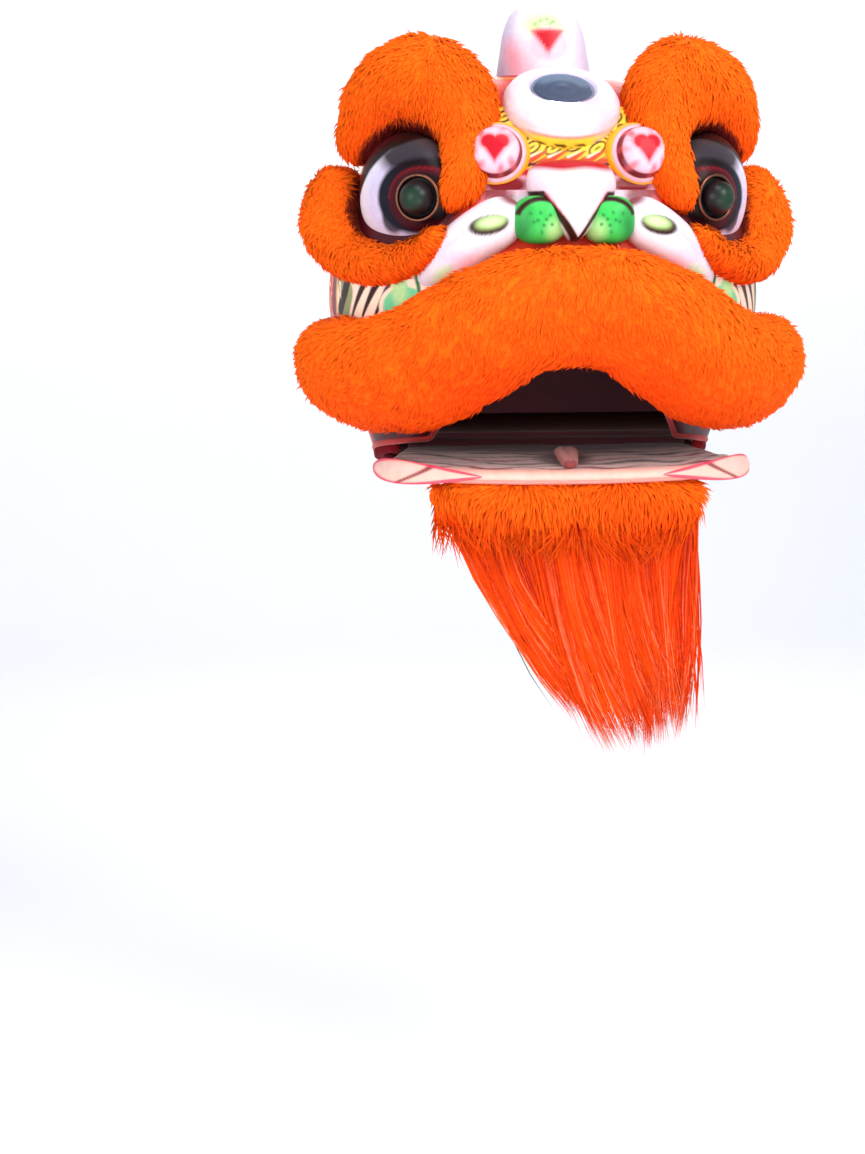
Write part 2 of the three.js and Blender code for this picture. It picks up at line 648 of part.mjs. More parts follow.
const jaw = new THREE.Group();
jaw.position.set(0, ROD.y, ROD.z);
jaw.rotation.x = JAW.droop;
const mouth = new Seating();
jaw.add(mesh("jaw_board", mouth.seat(jawBoard), "board"));
jaw.add(mesh("jaw_lip", mouth.seat(jawLip), "lip"));
jaw.add(mesh("lip_piping", mouth.seat(lipPiping), "piping"));
jaw.add(mesh("tongue", mouth.seat(tongue), "tongue"));
jaw.add(mesh("chin_fur", mouth.seat(chinRoll), "fur"));
head.add(jaw);

jaw.updateMatrixWorld();
const chinSeat = chinRoll(GAP);
const chinPlace = solidOf(mesh("chin_seat", chinSeat, "fur").geometry.applyMatrix4(jaw.matrixWorld));
head.add(mesh("beard", largest(beard().subtract(chinPlace)), "hair"));

export default head;
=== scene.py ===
"""A lion dance head: a painted shell, padded fur rolls over the face, a hinged jaw and a long beard."""

import logging
import math
from collections.abc import Callable
from dataclasses import dataclass
from enum import Enum

import bmesh
import bpy
import numpy as np
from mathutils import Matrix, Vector


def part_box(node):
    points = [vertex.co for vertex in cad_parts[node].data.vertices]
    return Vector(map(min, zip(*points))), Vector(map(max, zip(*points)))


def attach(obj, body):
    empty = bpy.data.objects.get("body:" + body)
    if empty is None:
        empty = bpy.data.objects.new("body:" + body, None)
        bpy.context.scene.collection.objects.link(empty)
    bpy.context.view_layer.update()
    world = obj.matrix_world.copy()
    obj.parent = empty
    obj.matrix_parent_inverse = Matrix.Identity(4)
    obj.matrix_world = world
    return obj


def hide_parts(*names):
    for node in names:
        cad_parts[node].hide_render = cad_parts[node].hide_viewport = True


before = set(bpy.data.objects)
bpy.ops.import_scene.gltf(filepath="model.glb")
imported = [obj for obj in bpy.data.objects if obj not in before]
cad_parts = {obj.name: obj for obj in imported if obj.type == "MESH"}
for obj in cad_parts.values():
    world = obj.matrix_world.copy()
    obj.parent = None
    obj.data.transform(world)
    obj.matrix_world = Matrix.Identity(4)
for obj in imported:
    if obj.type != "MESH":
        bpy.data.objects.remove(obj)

LOG = logging.getLogger("lion_head")
MM = 0.001
RIM_SLOPE = 0.19
RIM_FOOT = 150.0
Array = np.ndarray


class Side(Enum):
    """The two sides of the face, as the sign of X."""

    LEFT = -1
    RIGHT = 1

    @property
    def word(self) -> str:
        """The side's name, as the CAD nodes end in it."""
        return self.name.lower()


class Tint(Enum):
    """The colours of the head, as sRGB hex."""

    ORANGE_TIP = "FF7210"
    ORANGE = "FF4E06"
    RED_ROOT = "F23604"
    DEEP_RED = "A01004"
    WHITE = "DAD4DC"
    LILAC = "C9BCD8"
    BLUSH = "F3B6C4"
    CRIMSON = "B8061E"
    CORAL = "F0606A"
    DARK_RED = "7A0A14"
    MAROON = "440512"
    BROWN = "2E120C"
    BLACK = "0D0B10"
    NAVY = "10131F"
    GOLD = "F2A81E"
    YELLOW = "FFD23C"
    GREEN = "34B44C"
    DARK_GREEN = "1C6A36"
    PALE_GREEN = "BFE39A"
    CREAM = "FFE2C8"
    SHELL_RED = "D8361A"
    GREY_PINK = "D2B0A6"
    SALMON = "B5645A"
    MAGENTA = "D81E4C"
    GILT = "70483A"
    STAIN = "2A120C"
    SILVER_BLUE = "8498B4"
    LEAF = "6FD096"
    TAPE = "C83A12"
    ROSE = "DE8478"
    PETAL = "EDB3A2"
    STRAW_PINK = "FF8C62"
    OLIVE = "7C8A4A"
    SHADOW = "120708"


def linear(tint: Tint) -> Array:
    """A tint as linear red, green and blue."""
    value = np.array([int(tint.value[i : i + 2], 16) for i in (0, 2, 4)]) / 255
    return np.where(value <= 0.04045, value / 12.92, ((value + 0.055) / 1.055) ** 2.4)


def rgba(tint: Tint) -> tuple[float, float, float, float]:
    """A tint as a linear colour with full alpha."""
    return (*linear(tint).tolist(), 1.0)


def unit(vectors: Array) -> Array:
    """Vectors, or rows of vectors, scaled to a length of one."""
    return vectors / np.maximum(np.linalg.norm(vectors, axis=-1, keepdims=True), 1e-9)


def splined(rows: Array, share: Array) -> Array:
    """A table read as smooth curves.

    Args:
        rows: One row per station, one column per quantity.
        share: Where to read it, from 0 at the first row to 1 at the last.

    Returns:
        One row for each share.
    """
    last = len(rows) - 1
    at = np.clip(share, 0, 1) * last
    k = np.minimum(np.floor(at).astype(int), last - 1)
    t = (at - k)[:, None]
    a, b, c, d = (rows[np.clip(k + n, 0, last)] for n in (-1, 0, 1, 2))
    start, end = (c - a) / 2, (d - b) / 2
    return b + t * (start + t * (3 * (c - b) - 2 * start - end + t * (2 * (b - c) + start + end)))


def ripple(points: Array, scale: float, seed: float = 0.0) -> Array:
    """A soft cheap unevenness from -1 to 1 at points in mm, with lumps of about scale mm.

    Args:
        points: Points in mm.
        scale: The size of the lumps in mm.
        seed: Which unevenness of many.

    Returns:
        One number for each point.
    """
    x, y, z = (points / scale).T
    total = (
        np.sin(2.3 * x + 1.7 * y + seed)
        + np.sin(2.9 * y - 1.9 * z + 1.3 * seed)
        + np.sin(3.1 * z + 2.2 * x - 0.7 * seed)
        + np.sin(1.7 * x - 2.6 * y + 2.1 * z + 2.9 * seed)
    )
    return total / 4


def superellipse(angle: Array, squareness: float) -> tuple[Array, Array]:
    """The powers of the cosine and the sine of an angle."""
    cos, sin = np.cos(angle), np.sin(angle)
    power = 2 / squareness
    return np.sign(cos) * np.abs(cos) ** power, np.sign(sin) * np.abs(sin) ** power


class Brush:
    """Paint laid over the points of one piece, in that piece's own flat millimetres."""

    def __init__(self, across: Array, up: Array, ground: Tint) -> None:
        """Starts with one ground colour all over."""
        self.across = across
        self.up = up
        self.colour = np.tile(linear(ground), (len(across), 1))

    def lay(self, distance: Array, tint: Tint, soft: float = 1.0, strength: float = 1.0) -> "Brush":
        """Lays a colour where a signed distance is below zero.

        Args:
            distance: Millimetres to the motif's edge, negative inside it.
            tint: The colour.
            soft: The width of the edge in millimetres.
            strength: How much of the ground it covers.

        Returns:
            The brush itself.
        """
        share = strength * np.clip(0.5 - distance / soft, 0, 1)[:, None]
        self.colour = self.colour * (1 - share) + linear(tint) * share
        return self

    def oval(self, at: tuple[float, float], radii: tuple[float, float], turn: float = 0.0) -> Array:
        """Signed distance to a turned ellipse, in degrees from across.

        Args:
            at: The middle, across and up.
            radii: Half its width and height.
            turn: How far it is turned from across, in degrees.

        Returns:
            The distances in mm.
        """
        c, s = math.cos(math.radians(turn)), math.sin(math.radians(turn))
        x, y = self.across - at[0], self.up - at[1]
        length = np.hypot((c * x + s * y) / radii[0], (c * y - s * x) / radii[1])
        return (length - 1) * min(radii)

    def stroke(self, path: list[tuple[float, float]], width: float, taper: bool = True) -> Array:
        """Signed distance to a brush stroke along a path, thin at its far end when tapered.

        Args:
            path: Its corners, across and up.
            width: Its greatest width in mm.
            taper: Whether it thins towards its far end.

        Returns:
            The distances in mm.
        """
        best = np.full(len(self.across), 1e3)
        count = len(path) - 1
        for i, (a, b) in enumerate(zip(path, path[1:])):
            ab = np.array(b) - np.array(a)
            ap = np.stack([self.across - a[0], self.up - a[1]], axis=1)
            t = np.clip(ap @ ab / max(float(ab @ ab), 1e-6), 0, 1)
            gone = (i + t) / count if taper else 0
            thick = width / 2 * (1 - 0.75 * gone)
            best = np.minimum(best, np.linalg.norm(ap - t[:, None] * ab, axis=1) - thick)
        return best


@dataclass(frozen=True)
class Sheet:
    """A grid of faces that is bent into a form by a placing rule.

    Attributes:
        name: The object's name.
        place: From two shares, 0 to 1 across and 0 to 1 along, to points in mm.
        across: Faces across.
        along: Faces along.
        closed: Whether the form shuts on itself, so that its outside can be found.
    """

    name: str
    place: Callable[[Array, Array], Array]
    across: int
    along: int
    closed: bool = True

    def build(self, paint: Callable[[Array, Array, Array], Array] | None = None) -> bpy.types.Object:
        """Makes the object.

        Args:
            paint: From the shares and the points in mm to linear colours, one row each.

        Returns:
            The smooth-shaded object, at the origin.
        """
        bm = bmesh.new()
        bmesh.ops.create_grid(bm, x_segments=self.across, y_segments=self.along, size=0.5)
        flat = np.array([vert.co[:2] for vert in bm.verts]) + 0.5
        points = self.place(flat[:, 0], flat[:, 1])
        for vert, point in zip(bm.verts, points * MM):
            vert.co = point
        shares = bm.loops.layers.uv.new("shares")
        for face in bm.faces:
            for loop in face.loops:
                loop[shares].uv = flat[loop.vert.index]
        if paint is not None:
            layer = bm.verts.layers.float_color.new("paint")
            for vert, colour in zip(bm.verts, paint(flat[:, 0], flat[:, 1], points)):
                vert[layer] = (*colour, 1.0)
        bmesh.ops.remove_doubles(bm, verts=bm.verts, dist=2e-6)
        bmesh.ops.dissolve_degenerate(bm, dist=1e-7, edges=bm.edges)
        if self.closed:
            bmesh.ops.recalc_face_normals(bm, faces=bm.faces)
        return finished(self.name, bm)


def finished(name: str, bm: bmesh.types.BMesh) -> bpy.types.Object:
    """Turns a bmesh into a smooth-shaded object in the scene and frees it.

    Args:
        name: The object's name.
        bm: The bmesh, which is freed.

    Returns:
        The object.
    """
    for face in bm.faces:
        face.smooth = True
    mesh = bpy.data.meshes.new(name)
    bm.to_mesh(mesh)
    bm.free()
    obj = bpy.data.objects.new(name, mesh)
    bpy.context.scene.collection.objects.link(obj)
    return obj


def fit(obj: bpy.types.Object, body: str, slot: str, material: bpy.types.Material, *nodes: str) -> None:
    """Gives a piece its place in the object, and reports it.

    Args:
        obj: The piece.
        body: The body it rides on.
        slot: The record's material slot; not used.
        material: Its material.
        nodes: The CAD nodes that it stands for.
    """
    obj.data.materials.clear()
    obj.data.materials.append(material)
    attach(obj, body)
    if nodes:
        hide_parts(*nodes)
    LOG.info("%s on %s: %d faces", obj.name, body, len(obj.data.polygons))


@dataclass(frozen=True)
class Shell:
    """The rounded shell, by its sections: z, half width, reach to the front and to the back."""

    sections: tuple[tuple[float, float, float, float], ...] = (
        (-140, 186, 92, 248), (-60, 210, 112, 262), (0, 230, 152, 272), (60, 253, 202, 277),
        (130, 273, 240, 279), (190, 275, 252, 276), (250, 262, 246, 264), (310, 241, 226, 240),
        (360, 217, 202, 208), (405, 178, 166, 164), (437, 116, 110, 104), (451, 44, 44, 40),
        (452, 0, 0, 0),
    )
    squareness: float = 2.4
    wall: float = 4.0

    def table(self) -> Array:
        """The sections read finely, as a table for interpolation."""
        return splined(np.array(self.sections, float), np.linspace(0, 1, 2400))

    def at_height(self, z: Array, angle: Array, grow: float = 0.0) -> Array:
        """Points on the shell at heights and angles, moved out by grow mm.

        Args:
            z: Heights in mm.
            angle: Angles round the head, in radians.
            grow: How far out of the surface, in mm.

        Returns:
            The points in mm.
        """
        fine = self.table()
        half, front, back = (np.interp(z, fine[:, 0], fine[:, i]) for i in (1, 2, 3))
        across, along = superellipse(angle, self.squareness)
        reach = np.where(along < 0, front, back)
        return np.stack([(half + grow) * across, (reach + grow) * along, z + 0 * angle], axis=1)

    def inside(self, points: Array, margin: float = 0.0) -> Array:
        """Which points lie inside the shell by more than margin mm.

        Args:
            points: Points in mm.
            margin: How deep inside they have to lie, in mm.

        Returns:
            One truth value for each point.
        """
        fine = self.table()
        x, y, z = points.T
        half, front, back = (np.interp(z, fine[:, 0], fine[:, i]) - margin for i in (1, 2, 3))
        reach = np.where(y < 0, front, back)
        power = self.squareness
        ratio = (np.abs(x) / np.maximum(half, 1)) ** power + (np.abs(y) / np.maximum(reach, 1)) ** power
        return (ratio < 1) & (z < self.sections[-2][0])

    def low_edge(self, angle: Array) -> Array:
        """The height of the shell's lower edge at each angle: the sloping rim or the mouth's arch.

        Args:
            angle: Angles round the head, in radians.

        Returns:
            The heights in mm.
        """
        z = np.zeros_like(angle)
        for _ in range(40):
            x, y, _ = self.at_height(z, angle).T
            rim = -RIM_SLOPE * (y + RIM_FOOT)
            arch = -150 + 258 * np.sqrt(np.clip(1 - (x / 192) ** 2, 0, 1))
            z = 0.5 * z + 0.5 * np.where(y < -98, np.maximum(rim, arch), rim)
        return z

    def skin(self, grow: float) -> Callable[[Array, Array], Array]:
        """A placing rule for the whole skin, from its lower edge to the crown.

        Args:
            grow: How far out of the surface, in mm.

        Returns:
            The rule, from two shares to points in mm.
        """
        fine = self.table()

        def place(across: Array, along: Array) -> Array:
            """Bends the grid into the form."""
            angle = 2 * math.pi * across
            start = np.interp(self.low_edge(angle), fine[:, 0], np.linspace(0, 1, len(fine)))
            row = splined(np.array(self.sections, float), start + (1 - start) * along)
            z, half, front, back = row.T
            wide, deep = superellipse(angle, self.squareness)
            scale = np.clip(half / 44, 0, 1)
            reach = np.where(deep < 0, front, back)
            lifted = z + grow * np.clip(z / 451, 0, 1)
            return np.stack([(half + grow * scale) * wide, (reach + grow * scale) * deep, lifted], axis=1)

        return place


@dataclass(frozen=True)
class Roll:
    """A padded roll along a splined spine.

    Attributes:
        rows: Stations of x, y, z, half width over the face and half depth out of it, in mm.
        hand: The sign that x is multiplied by.
    """

    rows: tuple[tuple[float, float, float, float, float], ...]
    hand: int = 1

    def place(self, along: Array, turn: Array, proud: Array | float = 0.0) -> Array:
        """Points at shares along the roll and angles round it, proud of its surface by some mm.

        Args:
            along: Shares along it, from 0 to 1.
            turn: Angles round it, in radians.
            proud: How far out of its surface, in mm.

        Returns:
            The points in mm.
        """
        rows = np.array(self.rows, float) * np.array([self.hand, 1, 1, 1, 1])
        row = splined(rows, along)
        step = 0.5 / (len(rows) * 4)
        ahead = splined(rows, np.minimum(along + step, 1))[:, :3]
        behind = splined(rows, np.maximum(along - step, 0))[:, :3]
        way = unit(ahead - behind)
        out = row[:, :3] - np.array([0, 0, 220.0])
        out = unit(out - (out * way).sum(axis=1, keepdims=True) * way)
        side = np.cross(way, out)
        ends = np.sqrt(np.clip(1 - np.abs(2 * along - 1) ** 24, 0, 1))
        wide = (row[:, 3] + proud) * ends
        deep = (row[:, 4] + proud) * ends
        return (
            row[:, :3]
            + side * (wide * np.cos(turn))[:, None]
            + out * (deep * np.sin(turn))[:, None]
        )

    def frame(self, along: Array, turn: Array) -> tuple[Array, Array, Array]:
        """Points on the roll with its outward normals and the way it runs there.

        Args:
            along: Shares along it, from 0 to 1.
            turn: Angles round it, in radians.

        Returns:
            The points, the normals and the directions.
        """
        point = self.place(along, turn)
        step = 0.004
        ahead, behind = np.minimum(along + step, 1), np.maximum(along - step, 0)
        way = unit(self.place(ahead, turn) - self.place(behind, turn))
        round_it = unit(self.place(along, turn + step) - self.place(along, turn - step))
        spine = splined(np.array(self.rows, float) * np.array([self.hand, 1, 1, 1, 1]), along)[:, :3]
        normal = unit(np.cross(way, round_it))
        normal *= np.sign((normal * (point - spine)).sum(axis=1, keepdims=True))
        return point, normal, way


MUZZLE_HALF = (
    (0, -272, 166, 74, 56), (62, -270, 159, 76, 58), (122, -250, 128, 80, 62),
    (180, -212, 92, 80, 62), (232, -162, 78, 75, 60), (265, -112, 82, 70, 58),
    (280, -70, 94, 56, 50), (286, -42, 104, 32, 30), (288, -30, 108, 6, 6),
)
BROW = (
    (230, -46, 340, 8, 8), (232, -52, 356, 34, 38), (222, -64, 388, 50, 50), (202, -78, 420, 60, 58),
    (168, -102, 434, 66, 62), (132, -138, 412, 56, 56), (118, -174, 372, 40, 44),
    (124, -200, 330, 30, 36), (138, -212, 296, 22, 28), (142, -215, 280, 6, 8),
)
CHEEK = (
    (250, -28, 332, 6, 8), (257, -34, 316, 28, 34), (270, -48, 284, 40, 46), (270, -66, 252, 42, 48),
    (254, -106, 224, 34, 40), (224, -164, 214, 27, 34), (186, -206, 226, 22, 28),
    (164, -222, 248, 16, 22), (156, -226, 262, 5, 8),
)
BRIDGE = (
    (0, -218, 336, 42, 12), (0, -224, 326, 52, 24), (0, -236, 306, 54, 36),
    (0, -248, 284, 42, 40), (0, -258, 262, 22, 35), (0, -262, 245, 5, 20),
)
RIDGE = (
    (62, -244, 280, 14, 14), (84, -240, 270, 30, 24), (122, -226, 244, 32, 28),
    (152, -208, 216, 28, 28), (170, -194, 194, 18, 20), (176, -190, 186, 6, 8),
)


@dataclass(frozen=True)
class Jaw:
    """The jaw's bowed edge, hung from its hinge and turned down by its droop."""

    hinge: tuple[float, float, float] = (0.0, -60.0, -24.5)
    droop: float = math.radians(4.5)
    half: float = 224.0
    corner: float = 118.0
    reach: float = 206.0
    squareness: float = 2.1

    def edge(self, angle: Array, inset: float = 0.0) -> Array:
        """Points of the edge in the jaw's own frame, from the right corner at 0 to the left at pi."""
        across, along = superellipse(angle, self.squareness)
        depth = self.reach - self.corner - inset
        return np.stack([(self.half - inset) * across, -self.corner - depth * along, 0 * angle], axis=1)

    def world(self, points: Array) -> Array:
        """Points of the jaw's frame in the head's frame, in mm."""
        c, s = math.cos(self.droop), math.sin(self.droop)
        x, y, z = points.T
        return np.stack([x, y * c - z * s, y * s + z * c], axis=1) + np.array(self.hinge)


@dataclass(frozen=True)
class JawRoll:
    """A tube along the jaw's edge.

    Attributes:
        jaw: The jaw.
        start: The angle at which the tube starts, and ends as far from the other corner.
        inset: How far it lies in from the edge.
        level: Its height in the jaw's frame.
        size: From a share along it to its half width and half height.
    """

    jaw: Jaw
    start: float
    inset: float
    level: float
    size: Callable[[Array], tuple[Array, Array]]

    def place(self, along: Array, turn: Array, proud: Array | float = 0.0) -> Array:
        """Points at shares along the tube and angles round it.

        Args:
            along: Shares along it, from 0 to 1.
            turn: Angles round it, in radians.
            proud: How far out of its surface, in mm.

        Returns:
            The points in mm.
        """
        angle = self.start + (math.pi - 2 * self.start) * along
        centre = self.jaw.edge(angle, self.inset) + np.array([0, 0, self.level])
        way = unit(self.jaw.edge(angle + 0.01, self.inset) - self.jaw.edge(angle - 0.01, self.inset))
        side = unit(np.cross(way, np.array([0, 0, 1.0])))
        wide, tall = self.size(along)
        ends = np.sqrt(np.clip(1 - np.abs(2 * along - 1) ** 60, 0, 1))
        up = np.array([0, 0, 1.0])
        return self.jaw.world(
            centre
            + side * ((wide + proud) * ends * np.cos(turn))[:, None]
            + up * ((tall + proud) * ends * np.sin(turn))[:, None]
        )

    def frame(self, along: Array, turn: Array) -> tuple[Array, Array, Array]:
        """Points on the tube with its outward normals and the way it runs there.

        Args:
            along: Shares along it, from 0 to 1.
            turn: Angles round it, in radians.

        Returns:
            The points, the normals and the directions.
        """
        point = self.place(along, turn)
        step = 0.004
        ahead, behind = np.minimum(along + step, 1), np.maximum(along - step, 0)
        way = unit(self.place(ahead, turn) - self.place(behind, turn))
        round_it = unit(self.place(along, turn + step) - self.place(along, turn - step))
        centre = 0.5 * (point + self.place(along, turn + math.pi))
        normal = unit(np.cross(way, round_it))
        normal *= np.sign((normal * (point - centre)).sum(axis=1, keepdims=True))
        return point, normal, way


def fullness(share: Array, sharpness: float) -> Array:
    """How full a tube is along its length: thin at both ends, full soon after."""
    return np.minimum(1, (0.12 + np.clip(np.sin(math.pi * share), 0, 1) ** sharpness) / 1.02)


def add_node(
    tree: bpy.types.NodeTree, kind: str, inputs: dict | None = None, **settings: object
) -> bpy.types.Node:
    """Adds a shader node.

    Args:
        tree: The node tree.
        kind: The node's type name.
        inputs: From an input's name or number to a value, or to the socket that feeds it.
        settings: Properties of the node itself.

    Returns:
        The node.
    """
    node = tree.nodes.new(kind)
    for key, value in settings.items():
        setattr(node, key, value)
    for key, value in (inputs or {}).items():
        if isinstance(value, bpy.types.NodeSocket):
            tree.links.new(value, node.inputs[key])
        else:
            node.inputs[key].default_value = value
    return node


class Finish:
    """A material: its kinds lay their nodes into the tree round one Principled shader."""

    title = "finish"

    def build(self) -> bpy.types.Material:
        """Makes the material."""
        material = bpy.data.materials.new(self.title)
        material.use_nodes = True
        tree = material.node_tree
        tree.nodes.clear()
        output = add_node(tree, "ShaderNodeOutputMaterial")
        shader = add_node(tree, "ShaderNodeBsdfPrincipled")
        tree.links.new(shader.outputs[0], output.inputs[0])
        self.dress(tree, shader)
        return material

    def dress(self, tree: bpy.types.NodeTree, shader: bpy.types.Node) -> None:
        """Lays the kind's own nodes."""
        raise NotImplementedError

    def noise(
        self, tree: bpy.types.NodeTree, millimetres: float, detail: float = 3.0
    ) -> bpy.types.NodeSocket:
        """A noise with grains of about so many millimetres, in object coordinates.

        Args:
            tree: The node tree.
            millimetres: The size of the grains.
            detail: How many finer layers it has.

        Returns:
            The noise.
        """
        place = add_node(tree, "ShaderNodeTexCoord").outputs["Object"]
        node = add_node(
            tree, "ShaderNodeTexNoise", {"Vector": place, "Scale": 1 / (millimetres * MM), "Detail": detail}
        )
        return node.outputs[0]

    def bump(
        self, tree: bpy.types.NodeTree, shader: bpy.types.Node, height: bpy.types.NodeSocket, depth: float
    ) -> None:
        """Feeds a height into the shader's normal, deep by so many millimetres."""
        node = add_node(tree, "ShaderNodeBump", {"Height": height, "Strength": 0.6, "Distance": depth * MM})
        tree.links.new(node.outputs[0], shader.inputs["Normal"])

    def varied(
        self, tree: bpy.types.NodeTree, colour: bpy.types.NodeSocket, by: bpy.types.NodeSocket,
        low: float, high: float,
    ) -> bpy.types.NodeSocket:
        """A colour made darker and lighter by a noise.

        Args:
            tree: The node tree.
            colour: The colour.
            by: The noise.
            low: The factor where the noise is low.
            high: The factor where it is high.

        Returns:
            The varied colour.
        """
        reach = {"Value": by, "From Min": 0.3, "From Max": 0.7, "To Min": low, "To Max": high}
        amount = add_node(tree, "ShaderNodeMapRange", reach).outputs[0]
        scaled = add_node(tree, "ShaderNodeVectorMath", {0: colour, "Scale": amount}, operation="SCALE")
        return scaled.outputs[0]


@dataclass(frozen=True)
class DyedPile(Finish):
    """Long dyed fur: soft, matt, redder at the root, where painted shade stands for the depth of the pile;
    reads as deep plush that drinks light.
    """

    title: str = "dyed_pile"
    layer: str = "dye"

    def dress(self, tree: bpy.types.NodeTree, shader: bpy.types.Node) -> None:
        """Colour from the strands' own colours, painted shade included, with a little unevenness and sheen.
        """
        dye = add_node(tree, "ShaderNodeAttribute", attribute_name=self.layer).outputs["Color"]
        tree.links.new(self.varied(tree, dye, self.noise(tree, 9), 0.9, 1.1), shader.inputs["Base Color"])
        shader.inputs["Roughness"].default_value = 0.78
        shader.inputs["Sheen Weight"].default_value = 0.04
        shader.inputs["Sheen Roughness"].default_value = 0.5
        shader.inputs["Sheen Tint"].default_value = rgba(Tint.ORANGE_TIP)
        shader.inputs["Specular IOR Level"].default_value = 0.08


@dataclass(frozen=True)
class PaddedPlush(Finish):
    """The padding under the fur: short nap in the fur's own colours and painted shade, so that the gaps
    between strands stay warm.
    """

    title: str = "padded_plush"

    def dress(self, tree: bpy.types.NodeTree, shader: bpy.types.Node) -> None:
        """Colour from the pad's own colours, painted shade included, over a napped bump."""
        dye = add_node(tree, "ShaderNodeAttribute", attribute_name="paint").outputs["Color"]
        tree.links.new(self.varied(tree, dye, self.noise(tree, 5), 0.8, 1.15), shader.inputs["Base Color"])
        self.bump(tree, shader, self.noise(tree, 2.2, 4), 2.0)
        shader.inputs["Roughness"].default_value = 0.9
        shader.inputs["Specular IOR Level"].default_value = 0.08


@dataclass(frozen=True)
class LacqueredPaint(Finish):
    """Hand-laid poster paint under clear lacquer on paper: a broken satin gloss over brush marks."""

    title: str = "lacquered_paint"
    gloss: float = 0.4
    shine: float = 0.22

    def dress(self, tree: bpy.types.NodeTree, shader: bpy.types.Node) -> None:
        """Paint from the piece's colours, uneven as brushed paint is, with a thin coat."""
        paint = add_node(tree, "ShaderNodeAttribute", attribute_name="paint").outputs["Color"]
        colour = self.varied(tree, paint, self.noise(tree, 6, 5), 0.93, 1.04)
        tree.links.new(colour, shader.inputs["Base Color"])
        self.bump(tree, shader, self.noise(tree, 3, 4), 0.25)
        reach = {"Value": self.noise(tree, 14), "To Min": self.gloss - 0.08, "To Max": self.gloss + 0.12}
        rough = add_node(tree, "ShaderNodeMapRange", reach)
        tree.links.new(rough.outputs[0], shader.inputs["Roughness"])
        shader.inputs["Specular IOR Level"].default_value = self.shine
        shader.inputs["Coat Weight"].default_value = 0.04
        shader.inputs["Coat Roughness"].default_value = 0.2


def maths(tree: bpy.types.NodeTree, operation: str, *values: object) -> bpy.types.NodeSocket:
    """The result of a math node fed with sockets and numbers."""
    return add_node(tree, "ShaderNodeMath", dict(enumerate(values)), operation=operation).outputs[0]


@dataclass(frozen=True)
class ScaledPaper(LacqueredPaint):
    """Lacquered paper with rows of gilt fish scales drawn over the back of the head."""

    wide: float = 0.058
    tall: float = 0.036
    start: float = -0.034
    stop: float = 0.3959
    above_rim: float = 0.024
    girth: float = 0.262

    def near(
        self, tree: bpy.types.NodeTree, value: bpy.types.NodeSocket, at: float, half: float
    ) -> bpy.types.NodeSocket:
        """One where a value lies within half of a number, with a soft edge."""
        gap = maths(tree, "ABSOLUTE", maths(tree, "SUBTRACT", value, at))
        return maths(tree, "MULTIPLY", maths(tree, "SUBTRACT", half, gap), 1800.0)

    def dress(self, tree: bpy.types.NodeTree, shader: bpy.types.Node) -> None:
        """The lacquered ground, and over it each scale's gilt edge, inner line and heart."""
        super().dress(tree, shader)
        place = add_node(tree, "ShaderNodeTexCoord").outputs["Object"]
        x, y, z = add_node(tree, "ShaderNodeSeparateXYZ", {0: place}).outputs
        arc = maths(tree, "MULTIPLY", maths(tree, "ARCTAN2", x, y), self.girth)
        row = maths(tree, "FLOOR", maths(tree, "DIVIDE", z, self.tall))
        odd = maths(tree, "FLOORED_MODULO", row, 2.0)
        slid = maths(tree, "ADD", arc, maths(tree, "MULTIPLY", odd, self.wide / 2))
        cell = maths(tree, "SUBTRACT", maths(tree, "FLOORED_MODULO", slid, self.wide), self.wide / 2)
        rise = maths(tree, "SUBTRACT", z, maths(tree, "MULTIPLY", row, self.tall))
        squares = [maths(tree, "POWER", maths(tree, "ABSOLUTE", value), 2.0) for value in (cell, rise)]
        far = maths(tree, "SQRT", maths(tree, "ADD", *squares))
        rim = maths(tree, "MULTIPLY", maths(tree, "ADD", y, RIM_FOOT * MM), RIM_SLOPE)
        behind = maths(tree, "GREATER_THAN", y, self.start)
        for limit in (
            maths(tree, "LESS_THAN", z, self.stop),
            maths(tree, "GREATER_THAN", maths(tree, "ADD", z, rim), self.above_rim),
        ):
            behind = maths(tree, "MULTIPLY", behind, limit)
        colour = shader.inputs["Base Color"].links[0].from_socket
        marks = ((0.0, 0.0065, Tint.YELLOW), (0.022, 0.0012, Tint.DARK_RED), (0.029, 0.0021, Tint.GOLD))
        for at, half, tint in marks:
            mask = add_node(tree, "ShaderNodeClamp", {0: self.near(tree, far, at, half)}).outputs[0]
            share = maths(tree, "MULTIPLY", mask, behind)
            mix = add_node(tree, "ShaderNodeMix", data_type="RGBA")
            tree.links.new(share, mix.inputs[0])
            tree.links.new(colour, mix.inputs[6])
            mix.inputs[7].default_value = rgba(tint)
            colour = mix.outputs[2]
        tree.links.new(colour, shader.inputs["Base Color"])


@dataclass(frozen=True)
class WovenCloth(Finish):
    """Satin or cotton cloth: a fine weave and a soft sheen that follows its folds."""

    title: str = "woven_cloth"
    rough: float = 0.5
    sheen: float = 0.3
    thread: float = 0.9

    def dress(self, tree: bpy.types.NodeTree, shader: bpy.types.Node) -> None:
        """Colour from the piece, with crossed threads as bump."""
        paint = add_node(tree, "ShaderNodeAttribute", attribute_name="paint").outputs["Color"]
        colour = self.varied(tree, paint, self.noise(tree, 12), 0.92, 1.05)
        tree.links.new(colour, shader.inputs["Base Color"])
        place = add_node(tree, "ShaderNodeTexCoord").outputs["Object"]
        scale = 0.5 / (self.thread * MM)
        threads = [
            add_node(tree, "ShaderNodeTexWave", {"Vector": place, "Scale": scale, "Distortion": 0.6},
                     bands_direction=way).outputs[1]
            for way in ("X", "Y")
        ]
        weave = add_node(tree, "ShaderNodeMath", {0: threads[0], 1: threads[1]}, operation="MAXIMUM")
        self.bump(tree, shader, weave.outputs[0], 0.15)
        shader.inputs["Roughness"].default_value = self.rough
        shader.inputs["Sheen Weight"].default_value = self.sheen


